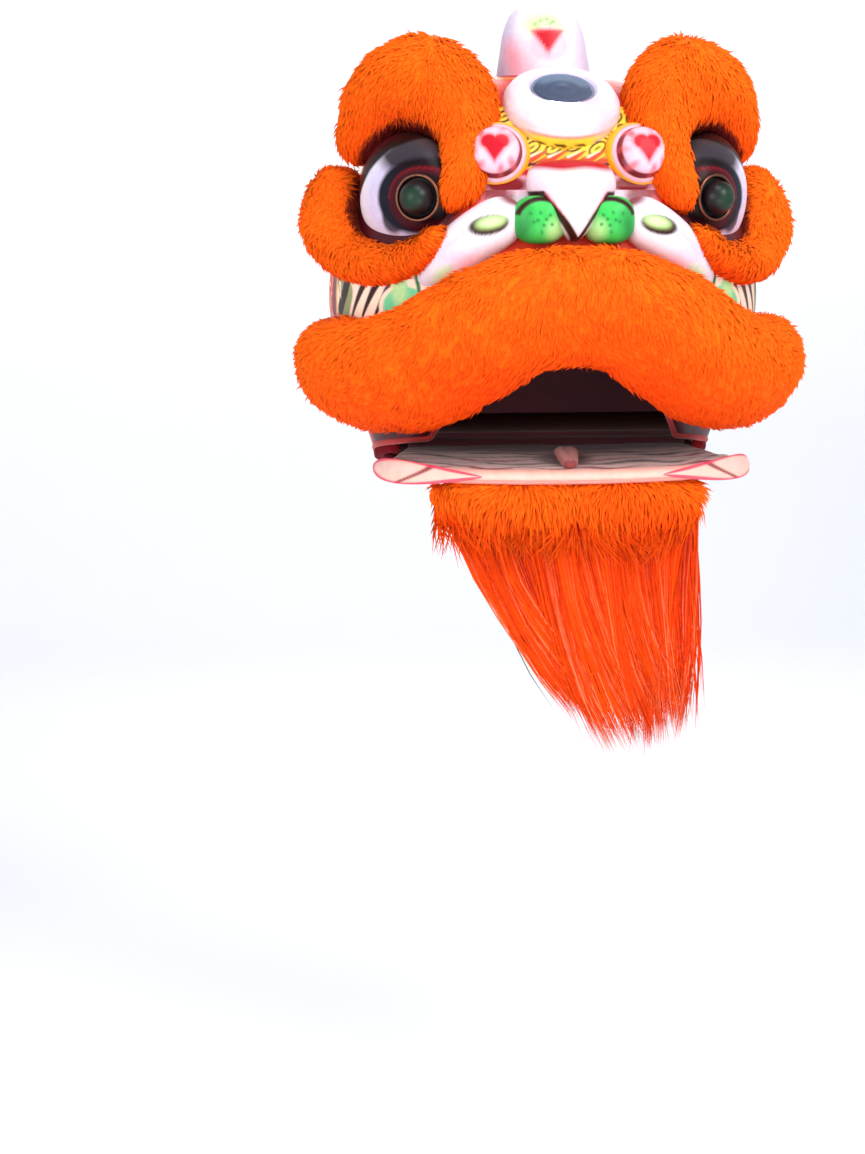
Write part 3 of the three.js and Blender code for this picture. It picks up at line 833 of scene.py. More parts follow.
@dataclass(frozen=True)
class PolishedMetal(Finish):
    """Gilt foil or silvered glass: a metal's highlight, broken by faint handling marks."""

    title: str = "polished_metal"
    tint: Tint = Tint.GOLD
    rough: float = 0.2
    painted: bool = False

    def dress(self, tree: bpy.types.NodeTree, shader: bpy.types.Node) -> None:
        """Metal with roughness broken by fine smears."""
        shader.inputs["Base Color"].default_value = rgba(self.tint)
        # The mirror is set painted, so its colours carry a painted reflection.
        if self.painted:
            paint = add_node(tree, "ShaderNodeAttribute", attribute_name="paint").outputs["Color"]
            tree.links.new(paint, shader.inputs["Base Color"])
        shader.inputs["Metallic"].default_value = 1.0
        rough = add_node(tree, "ShaderNodeMapRange", {"Value": self.noise(tree, 8, 5),
                                                      "To Min": self.rough * 0.6, "To Max": self.rough * 1.5})
        tree.links.new(rough.outputs[0], shader.inputs["Roughness"])


@dataclass(frozen=True)
class GlassBead(Finish):
    """The pupil's dulled black ball: near-black, with a soft highlight."""

    title: str = "glass_bead"

    def dress(self, tree: bpy.types.NodeTree, shader: bpy.types.Node) -> None:
        """A black body under a thin coat, with the faint green of its paint."""
        paint = add_node(tree, "ShaderNodeAttribute", attribute_name="paint").outputs["Color"]
        tree.links.new(self.varied(tree, paint, self.noise(tree, 7), 0.8, 1.2), shader.inputs["Base Color"])
        shader.inputs["Roughness"].default_value = 0.42
        shader.inputs["Specular IOR Level"].default_value = 0.25
        shader.inputs["Coat Weight"].default_value = 0.06
        shader.inputs["Coat Roughness"].default_value = 0.1


@dataclass(frozen=True)
class Cane(Finish):
    """Bamboo painted dark as shade inside the head, and taped rattan: long fibres in a dark, nearly matt
    skin.
    """

    title: str = "cane"
    light: Tint = Tint.CREAM
    dark: Tint = Tint.GOLD
    rough: float = 0.5

    def dress(self, tree: bpy.types.NodeTree, shader: bpy.types.Node) -> None:
        """Fibres stretched along the bar."""
        place = add_node(tree, "ShaderNodeTexCoord").outputs["Object"]
        long_way = add_node(tree, "ShaderNodeMapping", {"Vector": place, "Scale": (40, 900, 900)})
        reach = {"Vector": long_way.outputs[0], "Scale": 1.0, "Detail": 4.0}
        fibre = add_node(tree, "ShaderNodeTexNoise", reach)
        ramp = add_node(tree, "ShaderNodeMix", {"Factor": fibre.outputs[0], "A": rgba(self.dark),
                                                "B": rgba(self.light)}, data_type="RGBA")
        tree.links.new(ramp.outputs[2], shader.inputs["Base Color"])
        self.bump(tree, shader, fibre.outputs[0], 0.3)
        shader.inputs["Roughness"].default_value = self.rough
        shader.inputs["Specular IOR Level"].default_value = 0.08


class Palette:
    """The materials, each made once."""

    def __init__(self) -> None:
        """Makes them all."""
        self.pile = DyedPile().build()
        self.plush = PaddedPlush().build()
        self.paint = LacqueredPaint().build()
        self.eye = LacqueredPaint("eye_enamel", 0.42, 0.1).build()
        self.scales = ScaledPaper("scaled_paper").build()
        self.satin = WovenCloth("lip_satin", 0.45, 0.08, 0.6).build()
        self.cloth = WovenCloth("mouth_cloth", 0.75, 0.2, 1.1).build()
        self.lining = WovenCloth("shell_lining", 0.85, 0.1, 1.4).build()
        self.hair = DyedPile("beard_hair").build()
        self.gilt = PolishedMetal("gilt_foil", Tint.GILT, 0.38).build()
        self.mirror = PolishedMetal("mirror_glass", Tint.SILVER_BLUE, 0.12, True).build()
        self.bead = GlassBead().build()
        self.cane = Cane("taped_rattan", Tint.DARK_RED, Tint.MAROON, 0.8).build()
        # The bars are near-black: painted shade inside the head.
        self.bamboo = Cane("stained_bamboo", Tint.STAIN, Tint.SHADOW, 0.8).build()


@dataclass
class Strands:
    """Fur or hair as one joined mesh of thin three-sided tapering strands.

    Attributes:
        name: The object's name.
        paths: Strand centre lines in mm, as an array of strands, stations and xyz.
        radius: Radius at the root of each strand, in mm.
        normals: For each strand, the way the surface under it faces.
        root: Linear colour at each root.
        tip: Linear colour at each tip.
        gloss: How far the shading turns round each strand.
    """

    name: str
    paths: Array
    radius: Array
    normals: Array
    root: Array
    tip: Array
    gloss: float = 0.18

    def build(self) -> bpy.types.Object:
        """Makes the mesh with its colours, painted shade included, and soft normals.

        Returns:
            The object, at the origin.
        """
        count, stations, _ = self.paths.shape
        way = unit(np.gradient(self.paths, axis=1))
        first = unit(np.cross(way, self.normals[:, None, :]))
        second = np.cross(way, first)
        rings, facing, dye = [], [], []
        for i in range(stations - 1):
            share = i / (stations - 1)
            thick = (self.radius * (1 - 0.8 * share**1.5))[:, None]
            for j in range(3):
                turn = 2 * math.pi * j / 3 + 0.5
                ray = first[:, i] * math.cos(turn) + second[:, i] * math.sin(turn)
                rings.append(self.paths[:, i] + ray * thick)
                facing.append(unit(self.normals + ray * self.gloss))
                dye.append(self.root * (1 - share) + self.tip * share)
        rings.append(self.paths[:, -1])
        facing.append(self.normals)
        dye.append(self.tip)
        points = np.stack(rings, axis=1).reshape(-1, 3) * MM
        each = 3 * (stations - 1) + 1
        faces = []
        for i in range(stations - 2):
            for j in range(3):
                k = (j + 1) % 3
                faces += [(3 * i + j, 3 * i + k, 3 * i + 3 + j), (3 * i + k, 3 * i + 3 + k, 3 * i + 3 + j)]
        last = 3 * (stations - 2)
        faces += [(last + j, last + (j + 1) % 3, each - 1) for j in range(3)]
        corners = (np.array(faces)[None] + (np.arange(count) * each)[:, None, None]).reshape(-1)
        mesh = bpy.data.meshes.new(self.name)
        mesh.vertices.add(len(points))
        mesh.vertices.foreach_set("co", points.reshape(-1))
        mesh.loops.add(len(corners))
        mesh.loops.foreach_set("vertex_index", corners)
        mesh.polygons.add(len(corners) // 3)
        mesh.polygons.foreach_set("loop_start", np.arange(0, len(corners), 3))
        mesh.polygons.foreach_set("loop_total", np.full(len(corners) // 3, 3))
        mesh.update(calc_edges=True)
        colours = np.stack(dye, axis=1).reshape(-1, 3)
        layer = mesh.attributes.new("dye", "FLOAT_COLOR", "POINT")
        layer.data.foreach_set("color", np.hstack([colours, np.ones((len(colours), 1))]).reshape(-1))
        mesh.shade_smooth()
        mesh.normals_split_custom_set_from_vertices(np.stack(facing, axis=1).reshape(-1, 3))
        obj = bpy.data.objects.new(self.name, mesh)
        bpy.context.scene.collection.objects.link(obj)
        return obj


def fur_dye(points: Array, normals: Array) -> tuple[Array, Array]:
    """The fur's colours at points in mm: root and tip colours, patchy and lighter towards the sides, with
    painted light on top, painted shade underneath and at the roots, and painted shadow beside the eyes.

    Args:
        points: Points in mm.
        normals: The outward normals there.

    Returns:
        The root and the tip colours, one row each.
    """
    patch = 0.5 + 0.5 * ripple(points, 95, 1.0)
    # Downward faces: the fur is made redder there as painted shade underneath.
    low = np.clip(0.45 - 0.55 * normals[:, 2], 0, 1)
    # Random patches of tone, plus painted light on upward faces; then lighter towards the sides.
    light = np.clip(0.55 * patch + 0.65 * (1 - low), 0, 1)[:, None]
    far = np.clip(np.abs(points[:, :1]) / 260 - 0.35, 0, 1)
    light = np.clip(light + 0.35 * far, 0, 1)
    # Painted shade: the tips redden on the faces that turn furthest down.
    under = 0.55 * np.clip(low - 0.45, 0, 1)[:, None]
    tip = linear(Tint.ORANGE) * (1 - light) + linear(Tint.ORANGE_TIP) * light
    tip = tip * (1 - under) + linear(Tint.RED_ROOT) * under
    # Roots redder than tips: painted shade deep in the pile.
    root = linear(Tint.RED_ROOT) * (1 - 0.6 * light) + linear(Tint.ORANGE) * 0.6 * light
    # Maroon where the fur borders each eye's dome: painted shadow in the socket.
    dark = 0.92 * np.maximum(Eye(Side.LEFT).shadow(points), Eye(Side.RIGHT).shadow(points))[:, None]
    return root * (1 - dark) + linear(Tint.MAROON) * dark, tip * (1 - dark) + linear(Tint.MAROON) * dark


@dataclass
class FurRoll:
    """A padded roll of the face covered with plush pile.

    Attributes:
        name: The stem of its two pieces' names.
        roll: Its form.
        count: How many strands it carries.
        length: The strands' length in mm.
        node: The CAD node that it stands for.
        body: The body it rides on.
        seed: The seed of its pile.
        around: Faces round the pad.
        along: Faces along the pad.
        shaggy: Whether the strands underneath hang long.
    """

    name: str
    roll: Roll | JawRoll
    count: int
    length: float
    node: str
    body: str
    seed: int
    around: int = 48
    along: int = 130
    shaggy: bool = False

    def build(self, palette: Palette, shell: Shell) -> None:
        """Makes the pad and its pile."""
        self.pad(palette)
        self.pile(palette, shell)

    def pad(self, palette: Palette) -> None:
        """Makes the stuffed form under the pile.

        Args:
            palette: The materials.
        """

        def place(across: Array, along: Array) -> Array:
            """Bends the grid into the form."""
            plain = self.roll.place(along, 2 * math.pi * across)
            lumps = -3.4 + 2.2 * ripple(plain, 34, self.seed)
            return self.roll.place(along, 2 * math.pi * across, lumps)

        def paint(across: Array, along: Array, points: Array) -> Array:
            """Lays the colours."""
            normals = self.roll.frame(np.clip(along, 0.01, 0.99), 2 * math.pi * across)[1]
            root, tip = fur_dye(points, normals)
            return 0.2 * root + 0.8 * tip

        obj = Sheet(f"{self.name}_pad", place, self.around, self.along).build(paint)
        fit(obj, self.body, "orange_fur", palette.plush, self.node)

    def pile(self, palette: Palette, shell: Shell) -> None:
        """Makes the strands, laid over the pad and combed down and outwards.

        Args:
            palette: The materials.
            shell: The shell's form.
        """
        rng = np.random.default_rng(self.seed)
        edge = 0.035 if self.shaggy else 0.006
        along = rng.uniform(edge, 1 - edge, self.count * 3)
        turn = rng.uniform(0, 2 * math.pi, self.count * 3)
        point, normal, way = self.roll.frame(along, turn)
        keep = ~shell.inside(point, -2)
        area = np.linalg.norm(
            np.cross(
                self.roll.place(np.minimum(along + 0.002, 1), turn) - point,
                self.roll.place(along, turn + 0.01) - point,
            ),
            axis=1,
        )
        keep &= rng.uniform(0, 1, len(area)) < np.clip(area / np.percentile(area, 80), 0.05, 1)
        index = np.flatnonzero(keep)[: self.count]
        point, normal, way, along = point[index], normal[index], way[index], along[index]
        count = len(index)
        start = point - normal * 5.2 + normal * (2.2 * ripple(point, 34, self.seed))[:, None]
        spread = 0.15 if self.shaggy else 0.8
        comb = np.array([0, 0, -1.0]) + way * (spread * np.tanh(9 * (along - 0.5)))[:, None]
        comb += 0.7 * np.stack([ripple(point, 48, k) for k in (1, 2, 3)], axis=1)
        comb = unit(comb - (comb * normal).sum(axis=1, keepdims=True) * normal)
        stray = rng.normal(0, 0.16, (count, 3))
        long = (self.length * rng.uniform(0.75, 1.2, count))[:, None]
        if self.shaggy:
            hanging = np.clip(0.2 - normal[:, 2:3], 0, 1) * rng.uniform(0, 1, (count, 1))
            clump = 0.8 + 0.7 * ripple(point, 26, self.seed)[:, None]
            long = long * (1 + 2.6 * hanging * np.clip(clump, 0.1, 1.6))
            comb = unit(comb + np.array([0, 0, -0.9]) * hanging)
        first = unit(normal * 0.38 + comb * 0.85 + stray)
        second = unit(normal * 0.06 + comb + stray)
        middle = start + first * long * 0.5
        paths = np.stack([start, middle, middle + second * long * 0.5], axis=1)
        root, tip = fur_dye(point, normal)
        shade = rng.uniform(0.93, 1.04, (count, 1))
        soft = unit(normal + np.array([0, -0.7, 0.3])) if self.shaggy else normal
        obj = Strands(
            f"{self.name}_pile", paths, rng.uniform(1.3, 2.1, count), soft, root * shade, tip * shade
        ).build()
        fit(obj, self.body, "orange_fur", palette.pile)


@dataclass(frozen=True)
class Turned:
    """A turned form about the line it faces along, by a profile of radius and height in mm."""

    profile: tuple[tuple[float, float], ...]
    at: tuple[float, float, float]
    facing: tuple[float, float, float]

    def axes(self) -> tuple[Array, Array, Array]:
        """The side, front and top directions."""
        front = unit(np.array(self.facing, float))
        side = unit(np.cross(front, np.array([0, 0, 1.0])))
        return side, front, np.cross(side, front)

    def place(self, across: Array, along: Array) -> Array:
        """Points at shares round and along the profile, rounded at its corners.

        Args:
            across: Shares across it, from 0 to 1.
            along: Shares along it, from 0 to 1.

        Returns:
            The points in mm.
        """
        rows = np.array(self.profile, float)
        steps = np.concatenate([[0], np.cumsum(np.linalg.norm(np.diff(rows, axis=0), axis=1))])
        share = along * steps[-1]
        radius = sum(np.interp(share + d, steps, rows[:, 0]) for d in (-1.6, 0, 1.6)) / 3
        height = sum(np.interp(share + d, steps, rows[:, 1]) for d in (-1.6, 0, 1.6)) / 3
        radius = np.where((along <= 0) | (along >= 1), 0, radius)
        side, front, top = self.axes()
        turn = 2 * math.pi * across
        return (
            np.array(self.at, float)
            + side * (radius * np.cos(turn))[:, None]
            + front * height[:, None]
            + top * (radius * np.sin(turn))[:, None]
        )

    def flat(self, points: Array) -> tuple[Array, Array, Array]:
        """Points read back as millimetres to the side, up and forward of the form's middle."""
        side, front, top = self.axes()
        away = points - np.array(self.at, float)
        return away @ side, away @ top, away @ front


class Face:
    """The shell and the painted pieces of the face."""

    def __init__(self, palette: Palette, shell: Shell) -> None:
        """Keeps the materials and the shell's form."""
        self.palette = palette
        self.shell = shell

    def build(self) -> None:
        """Makes every painted piece."""
        self.outer_skin()
        self.lining()
        self.edge_binding()
        self.forehead_panel()
        self.mirror_mount()
        self.mirror()
        self.horn()
        self.bridge()
        for side in Side:
            self.cheek_panel(side)
            self.boss(side)
            self.nostril(side)
            self.ridge(side)
            Eye(side).build(self.palette)

    def outer_skin(self) -> None:
        """The paper skin, vermilion with bands of scales behind the face, and painted shade low at the front,
        round the eyes and beside the nose.
        """

        def paint(across: Array, along: Array, points: Array) -> Array:
            """Lays the colours."""
            x, y, z = points.T
            arc = (across * 2 * math.pi - math.pi / 2) * 262
            brush = Brush(arc, z, Tint.SHELL_RED)
            brush.lay(np.maximum(y + 40, z - 400), Tint.SHELL_RED, 4)
            brush.lay(np.maximum(np.abs(y + 38) - 4, 90 - z), Tint.GOLD, 5)
            brush.lay(np.hypot(x, y) - 92 + np.where(z > 380, 0, 99), Tint.CRIMSON, 8)
            brush.lay(np.abs(np.hypot(x, y) - 92) - 4 + np.where(z > 380, 0, 99), Tint.GOLD, 5)
            low = self.shell.low_edge(2 * math.pi * across)
            bands = ((12, 16, Tint.DARK_GREEN), (21, 2.4, Tint.YELLOW), (3, 2.4, Tint.YELLOW))
            for level, wide, tint in bands:
                brush.lay(np.where(y > 30, np.abs(z - low - level) - wide / 2, 9), tint, 1.6)
            # Darker red, then maroon, low at the front: painted shade under the muzzle at the mouth corners.
            brush.lay(np.maximum(z - 110, y + 60), Tint.DARK_RED, 40)
            brush.lay(np.maximum(z - 30, y + 10), Tint.MAROON, 50)
            nose = Brush(np.abs(x), z, Tint.WHITE)
            front = np.where(y < -120, 0, 99)
            brush.lay(nose.oval((62, 300), (44, 26)) + front, Tint.BLUSH, 10)
            brush.lay(nose.oval((60, 286), (40, 16)) + front, Tint.WHITE, 10)
            # A dark red patch in the hollow between the brow and the nose: painted shade.
            brush.lay(nose.oval((88, 300), (20, 15), 20) + front, Tint.DARK_RED, 8, 0.9)
            # Maroon round each eye's dome: painted shade in its socket.
            for side in Side:
                eye = Eye(side)
                nose_way, up_way, _ = eye.axes()
                away = points - eye.middle()
                reach = np.hypot(away @ nose_way / eye.radii[0], away @ up_way / eye.radii[1])
                near = np.where(side.value * x > 0, 0, 9)
                brush.lay((reach - 1.16) * 80 + 80 * near, Tint.MAROON, 10)
            return brush.colour

        obj = Sheet("shell_skin", self.shell.skin(0.0), 216, 96).build(paint)
        panels = [
            f"shell_{level}_{depth}_{side.word}"
            for level in ("low", "crown") for depth in ("front", "back") for side in Side
        ]
        fit(obj, "head", "painted_shell", self.palette.scales, *panels)

    def lining(self) -> None:
        """The dark maroon cloth inside the shell, blotched with black; its darkness also stands in as painted
        shade inside the head.
        """

        def paint(across: Array, along: Array, points: Array) -> Array:
            """Lays the colours."""
            brush = Brush(points[:, 0], points[:, 2], Tint.MAROON)
            brush.lay(ripple(points, 40) * 10 + 4, Tint.BLACK, 12, 0.6)
            return brush.colour

        inner = self.shell.skin(-self.shell.wall)
        turned = Sheet("shell_lining", lambda across, along: inner(1 - across, along), 80, 36, False)
        obj = turned.build(paint)
        fit(obj, "head", "painted_shell", self.palette.lining)

    def edge_binding(self) -> None:
        """The cloth tape folded over the shell's lower edge."""

        def place(across: Array, along: Array) -> Array:
            """Bends the grid into the form."""
            angle = 2 * math.pi * along
            edge = self.shell.at_height(self.shell.low_edge(angle), angle, -2.0)
            turn = 2 * math.pi * across
            out = unit(edge * np.array([1, 1, 0.0]))
            up = np.array([0, 0, 1.0])
            return edge + out * (4.2 * np.cos(turn))[:, None] + up * (5 * np.sin(turn))[:, None]

        def paint(across: Array, along: Array, points: Array) -> Array:
            """Tape red, deep red towards the front: painted shade under the muzzle."""
            brush = Brush(points[:, 0], points[:, 1], Tint.TAPE)
            return brush.lay(points[:, 1] + 10, Tint.DEEP_RED, 60).colour

        obj = Sheet("edge_binding", place, 8, 260).build(paint)
        fit(obj, "head", "painted_shell", self.palette.cloth)

    def patch(
        self, name: str, angles: tuple[float, float], heights: tuple[float, float], size: tuple[int, int],
        paint: Callable[[Array, Array, Array], Array],
    ) -> None:
        """A painted paper patch that lies on the shell between two angles, in degrees, and two heights.

        Args:
            name: The object's name.
            angles: The first and the last angle, in degrees.
            heights: The lower and the upper height, in mm.
            size: Faces across and up.
            paint: From shares and points to colours.
        """

        def place(across: Array, along: Array) -> Array:
            """Bends the grid into the form."""
            angle = np.radians(angles[0] + (angles[1] - angles[0]) * across)
            z = heights[0] + (heights[1] - heights[0]) * along
            edge = np.minimum(np.minimum(across, 1 - across) * 30, np.minimum(along, 1 - along) * 20)
            return self.shell.at_height(z, angle) + self.lift(z, angle, np.clip(edge, 0, 1) * 2.2 - 0.6)

        obj = Sheet(name, place, *size, False).build(paint)
        fit(obj, "head", "painted_shell", self.palette.paint)

    def lift(self, z: Array, angle: Array, height: Array) -> Array:
        """Offsets that raise points of the shell by a height along the level outward direction."""
        ray = unit(self.shell.at_height(z, angle) * np.array([1, 1, 0.0]))
        return ray * height[:, None]

    def forehead_panel(self) -> None:
        """Gold leaf scales outlined in brown between the bosses."""

        def paint(across: Array, along: Array, points: Array) -> Array:
            """Lays the colours."""
            x, _, z = points.T
            brush = Brush(x, z, Tint.YELLOW)
            brush.lay(z - 352 + 4 * np.sin(x / 13), Tint.GOLD, 10)
            for level, shift, lean in ((392, 8, 30), (374, -4, -34), (357, 10, 30)):
                for k in range(-4, 5):
                    at = (k * 27 + shift, level + 2.5 * math.cos(2.2 * k))
                    brush.lay(brush.oval(at, (13.5, 7.0), lean + 9 * math.sin(3 * k)), Tint.BROWN, 1.4)
                    brush.lay(brush.oval(at, (10.2, 4.4), lean + 9 * math.sin(3 * k)), Tint.YELLOW, 1.6)
                    brush.lay(brush.oval(at, (5.6, 1.6), lean), Tint.BROWN, 1.4, 0.8)
            for k in range(-4, 5):
                base = 24 * k + 6
                brush.lay(brush.stroke([(base - 15, 337), (base, 343), (base + 15, 352)], 9.5), Tint.TAPE, 2)
                under = [(base - 16, 332), (base, 337), (base + 17, 346)]
                brush.lay(brush.stroke(under, 3.6), Tint.BROWN, 1.4)
                brush.lay(brush.stroke([(base - 6, 345), (base + 10, 352)], 3.2), Tint.CREAM, 1.6, 0.8)
            brush.lay(z - 333 + 2.5 * np.cos(x / 8), Tint.CRIMSON, 3)
            brush.lay(np.abs(z - 334 - 2.5 * np.cos(x / 8)) - 1.6, Tint.MAROON, 2)
            brush.lay(z - 322, Tint.BLUSH, 4)
            # Dark red patches under the bosses, in the hollow beside the nose: painted shade.
            brush.lay(brush.oval((78, 312), (26, 12)), Tint.DARK_RED, 6)
            brush.lay(brush.oval((-78, 312), (26, 12)), Tint.DARK_RED, 6)
            return brush.colour

        self.patch("forehead_panel", (228, 312), (304, 408), (190, 90), paint)

    def cheek_panel(self, side: Side) -> None:
        """Green, cream and black flames between the cheek fur and the muzzle.

        Args:
            side: The side of the face.
        """

        def paint(across: Array, along: Array, points: Array) -> Array:
            """Lays the colours."""
            z = points[:, 2]
            turned = 4 + 58 * (1 - across if side is Side.RIGHT else across)
            arc = 3.9 * turned
            brush = Brush(arc, z, Tint.CREAM)
            brush.lay(arc - 44, Tint.DARK_RED, 8)
            brush.lay(np.abs(arc - 46) - 2, Tint.GOLD, 2.4)
            brush.lay(brush.stroke([(60, 200), (78, 176), (66, 146)], 34, False), Tint.OLIVE, 4, 0.9)
            brush.lay(brush.stroke([(84, 206), (74, 178), (60, 156)], 17, False), Tint.BROWN, 2)
            brush.lay(brush.stroke([(56, 190), (62, 170)], 6), Tint.CREAM, 2)
            for base in (96, 119, 142):
                flame = [(base + 40, 216), (base + 20, 186), (base - 2, 150)]
                brush.lay(brush.stroke(flame, 17), Tint.BROWN, 2)
                brush.lay(brush.stroke([(base + 32, 212), (base + 12, 184)], 5.5), Tint.LILAC, 2)
            stem = brush.stroke([(184, 170), (176, 204)], 34)
            leaf = np.minimum(brush.oval((184, 166), (30, 22), 12), stem)
            brush.lay(leaf - 5, Tint.CREAM, 2)
            brush.lay(leaf, Tint.LEAF, 3)
            brush.lay(brush.oval((178, 184), (11, 20), 10), Tint.PALE_GREEN, 9, 0.8)
            for path in ([(200, 204), (206, 182), (204, 160)], [(172, 146), (192, 140), (210, 150)]):
                brush.lay(brush.stroke(path, 6.5), Tint.DARK_GREEN, 2)
            brush.lay(brush.stroke([(226, 176), (216, 160), (220, 140)], 12), Tint.LEAF, 3)
            brush.lay(brush.stroke([(232, 168), (222, 150)], 5), Tint.DARK_GREEN, 2)
            brush.lay(z - 136 + 0.10 * (arc - 120), Tint.ROSE, 3)
            for i in range(8):
                base = 46 + 23 * i
                brush.lay(brush.stroke([(base, 140), (base + 14, 124), (base + 34, 98)], 14), Tint.CRIMSON, 2)
                vein = [(base + 3, 134), (base + 14, 119), (base + 28, 101)]
                brush.lay(brush.stroke(vein, 4), Tint.DARK_RED, 2)
            brush.lay(z - 96, Tint.SHELL_RED, 3)
            return brush.colour

        angles = (184, 242) if side is Side.LEFT else (298, 356)
        self.patch(f"cheek_panel_{side.word}", angles, (84, 214), (150, 90), paint)

    def mirror_mount(self) -> None:
        """The white padded ring that holds the mirror."""
        form = Turned(
            ((0, -46), (70, -46), (74, -6), (72, 8), (65, 19), (54, 26), (45, 27), (41, 24), (40, 20),
             (0, 20)),
            (0, -154, 408), (0, -0.5, 0.87),
        )

        def paint(across: Array, along: Array, points: Array) -> Array:
            """Lays the colours."""
            side, up, forward = form.flat(points)
            radius = np.hypot(side, up)
            brush = Brush(side, up, Tint.WHITE)
            brush.lay(forward + 12 + 7 * np.clip(up / 60, -1, 1), Tint.YELLOW, 4)
            turn = np.degrees(np.arctan2(up, side))
            for k in range(18):
                gap = (turn - 20 * k + 180) % 360 - 180
                scale = np.hypot(gap * 1.2 + 0.35 * (forward + 24), forward + 24)
                brush.lay(np.where(forward < -12, np.abs(scale - 9) - 1.4, 9), Tint.BROWN, 1.6)
            brush.lay(np.abs(forward + 12 + 7 * np.clip(up / 60, -1, 1)) - 1.2, Tint.TAPE, 1.8, 0.7)
            # Blush low on the ring and lilac round the mirror's edge: painted shade.
            brush.lay(brush.oval((-34, -42), (26, 16), 40), Tint.BLUSH, 16, 0.8)
            brush.lay(brush.oval((40, -44), (18, 12), -30), Tint.BLUSH, 16, 0.5)
            brush.lay(np.abs(radius - 41.5) - 1.6, Tint.LILAC, 3, 0.8)
            return brush.colour

        obj = Sheet("mirror_ring", form.place, 96, 56).build(paint)
        fit(obj, "head", "white_enamel", self.palette.paint, "mirror_mount")

    def mirror(self) -> None:
        """The round mirror, very slightly domed."""
        form = Turned(
            ((0, 20.4), (39.2, 20.4), (39.2, 23.6), (20, 25.0), (0, 25.4)), (0, -154, 408), (0, -0.5, 0.87)
        )

        def paint(across: Array, along: Array, points: Array) -> Array:
            """Silver blue, paling to white towards the bottom: a painted reflection."""
            side, up, _ = form.flat(points)
            return Brush(side, up, Tint.SILVER_BLUE).lay(up + 8, Tint.WHITE, 46, 0.9).colour

        obj = Sheet("mirror_disc", form.place, 48, 24).build(paint)
        fit(obj, "head", "mirror_glass", self.palette.mirror, "mirror")

    def horn(self) -> None:
        """The rounded horn with its painted front."""
        rows = np.array([
            (405, -16, 66, 56), (440, -14, 62, 53), (474, -10, 57, 49), (506, -6, 51, 44),
            (529, -2, 40, 35), (541, 0, 26, 24), (547.5, 1.5, 10, 9), (549, 2, 0, 0),
        ], float)

        def place(across: Array, along: Array) -> Array:
            """Bends the grid into the form."""
            z, y, half, deep = splined(rows, along).T
            turn = 2 * math.pi * across
            closed = np.where(along >= 1, 0, 1) * np.clip(along * 40, 0, 1)
            return np.stack([half * closed * np.cos(turn), y + deep * closed * np.sin(turn), z], axis=1)

        def paint(across: Array, along: Array, points: Array) -> Array:
            """Lays the colours."""
            x, y, z = points.T
            brush = Brush(x, z, Tint.WHITE)
            front = np.where(y < 0, 0, 30)
            # Lilac at the sides: painted shade where the horn turns away.
            brush.lay(40 - np.abs(x), Tint.LILAC, 16, 0.8)
            brush.lay(brush.oval((0, 512), (34, 26)) + front, Tint.CREAM, 12, 0.7)
            brush.lay(brush.oval((-4, 512), (24, 15)) + front, Tint.PALE_GREEN, 9, 0.9)
            for dx, dz in ((-16, 512), (-9, 517), (-1, 519), (7, 516), (-12, 508), (3, 512)):
                brush.lay(brush.oval((dx, dz), (2.4, 1.8)) + front, Tint.DARK_GREEN, 3, 0.8)
            brush.lay(brush.oval((1, 488), (25, 22)) + front, Tint.BLUSH, 7, 0.9)
            point = np.maximum(np.abs(x + 1) * 0.86 + (496 - z) * 0.62 - 11, z - 505 + 0.004 * x * x)
            brush.lay(point - 3 + front, Tint.CORAL, 5, 0.8)
            brush.lay(point + front, Tint.CRIMSON, 3)
            # Blush and coral low on the left side: painted shade.
            brush.lay(brush.oval((-34, 458), (16, 30), 10) + front, Tint.BLUSH, 18, 0.9)
            brush.lay(brush.oval((-44, 470), (7, 20), 10) + front, Tint.CORAL, 10, 0.4)
            return brush.colour

        obj = Sheet("horn_shell", place, 96, 60).build(paint)
        fit(obj, "head", "white_enamel", self.palette.paint, "horn")

    def bridge(self) -> None:
        """The white bridge of the nose, running down to an outlined point."""
        roll = Roll(BRIDGE)

        def paint(across: Array, along: Array, points: Array) -> Array:
            """Lays the colours."""
            x, y, z = points.T
            brush = Brush(x, z, Tint.WHITE)
            brush.lay(brush.oval((0, 318), (26, 10)), Tint.CREAM, 12, 0.8)
            for hand in (-1, 1):
                brush.lay(brush.oval((hand * 40, 300), (16, 20)), Tint.BLUSH, 20, 0.7)
                edge = [(hand * x, z) for x, z in ((54, 300), (40, 301), (30, 288), (15, 267), (2, 247))]
                brush.lay(brush.stroke(edge, 7.5 if hand < 0 else 5.5, False), Tint.BROWN, 1.8)
                inner = [(hand * x, z) for x, z in ((36, 301), (25, 286), (12, 270))]
                brush.lay(brush.stroke(inner, 2.0), Tint.CORAL, 1.6, 0.7)
            brush.lay(brush.oval((0, 290), (9, 16)), Tint.LILAC, 12, 0.5)
            brush.lay(330 - z + 1.2 * np.sin(x / 9), Tint.CRIMSON, 7)
            brush.lay(brush.oval((0, 316), (22, 8)), Tint.PALE_GREEN, 14, 0.25)
            return brush.colour

        obj = Sheet("nose_bridge_form", lambda a, b: roll.place(b, 2 * math.pi * a), 100, 84).build(paint)
        fit(obj, "head", "white_enamel", self.palette.paint, "nose_bridge")

    def ridge(self, side: Side) -> None:
        """A white ridge from the nostril to the cheek, with its pale green eye spot.

        Args:
            side: The side of the face.
        """
        roll = Roll(RIDGE, side.value)

        def paint(across: Array, along: Array, points: Array) -> Array:
            """Lays the colours."""
            x, y, z = points.T
            out = side.value * x
            brush = Brush(out, z, Tint.WHITE)
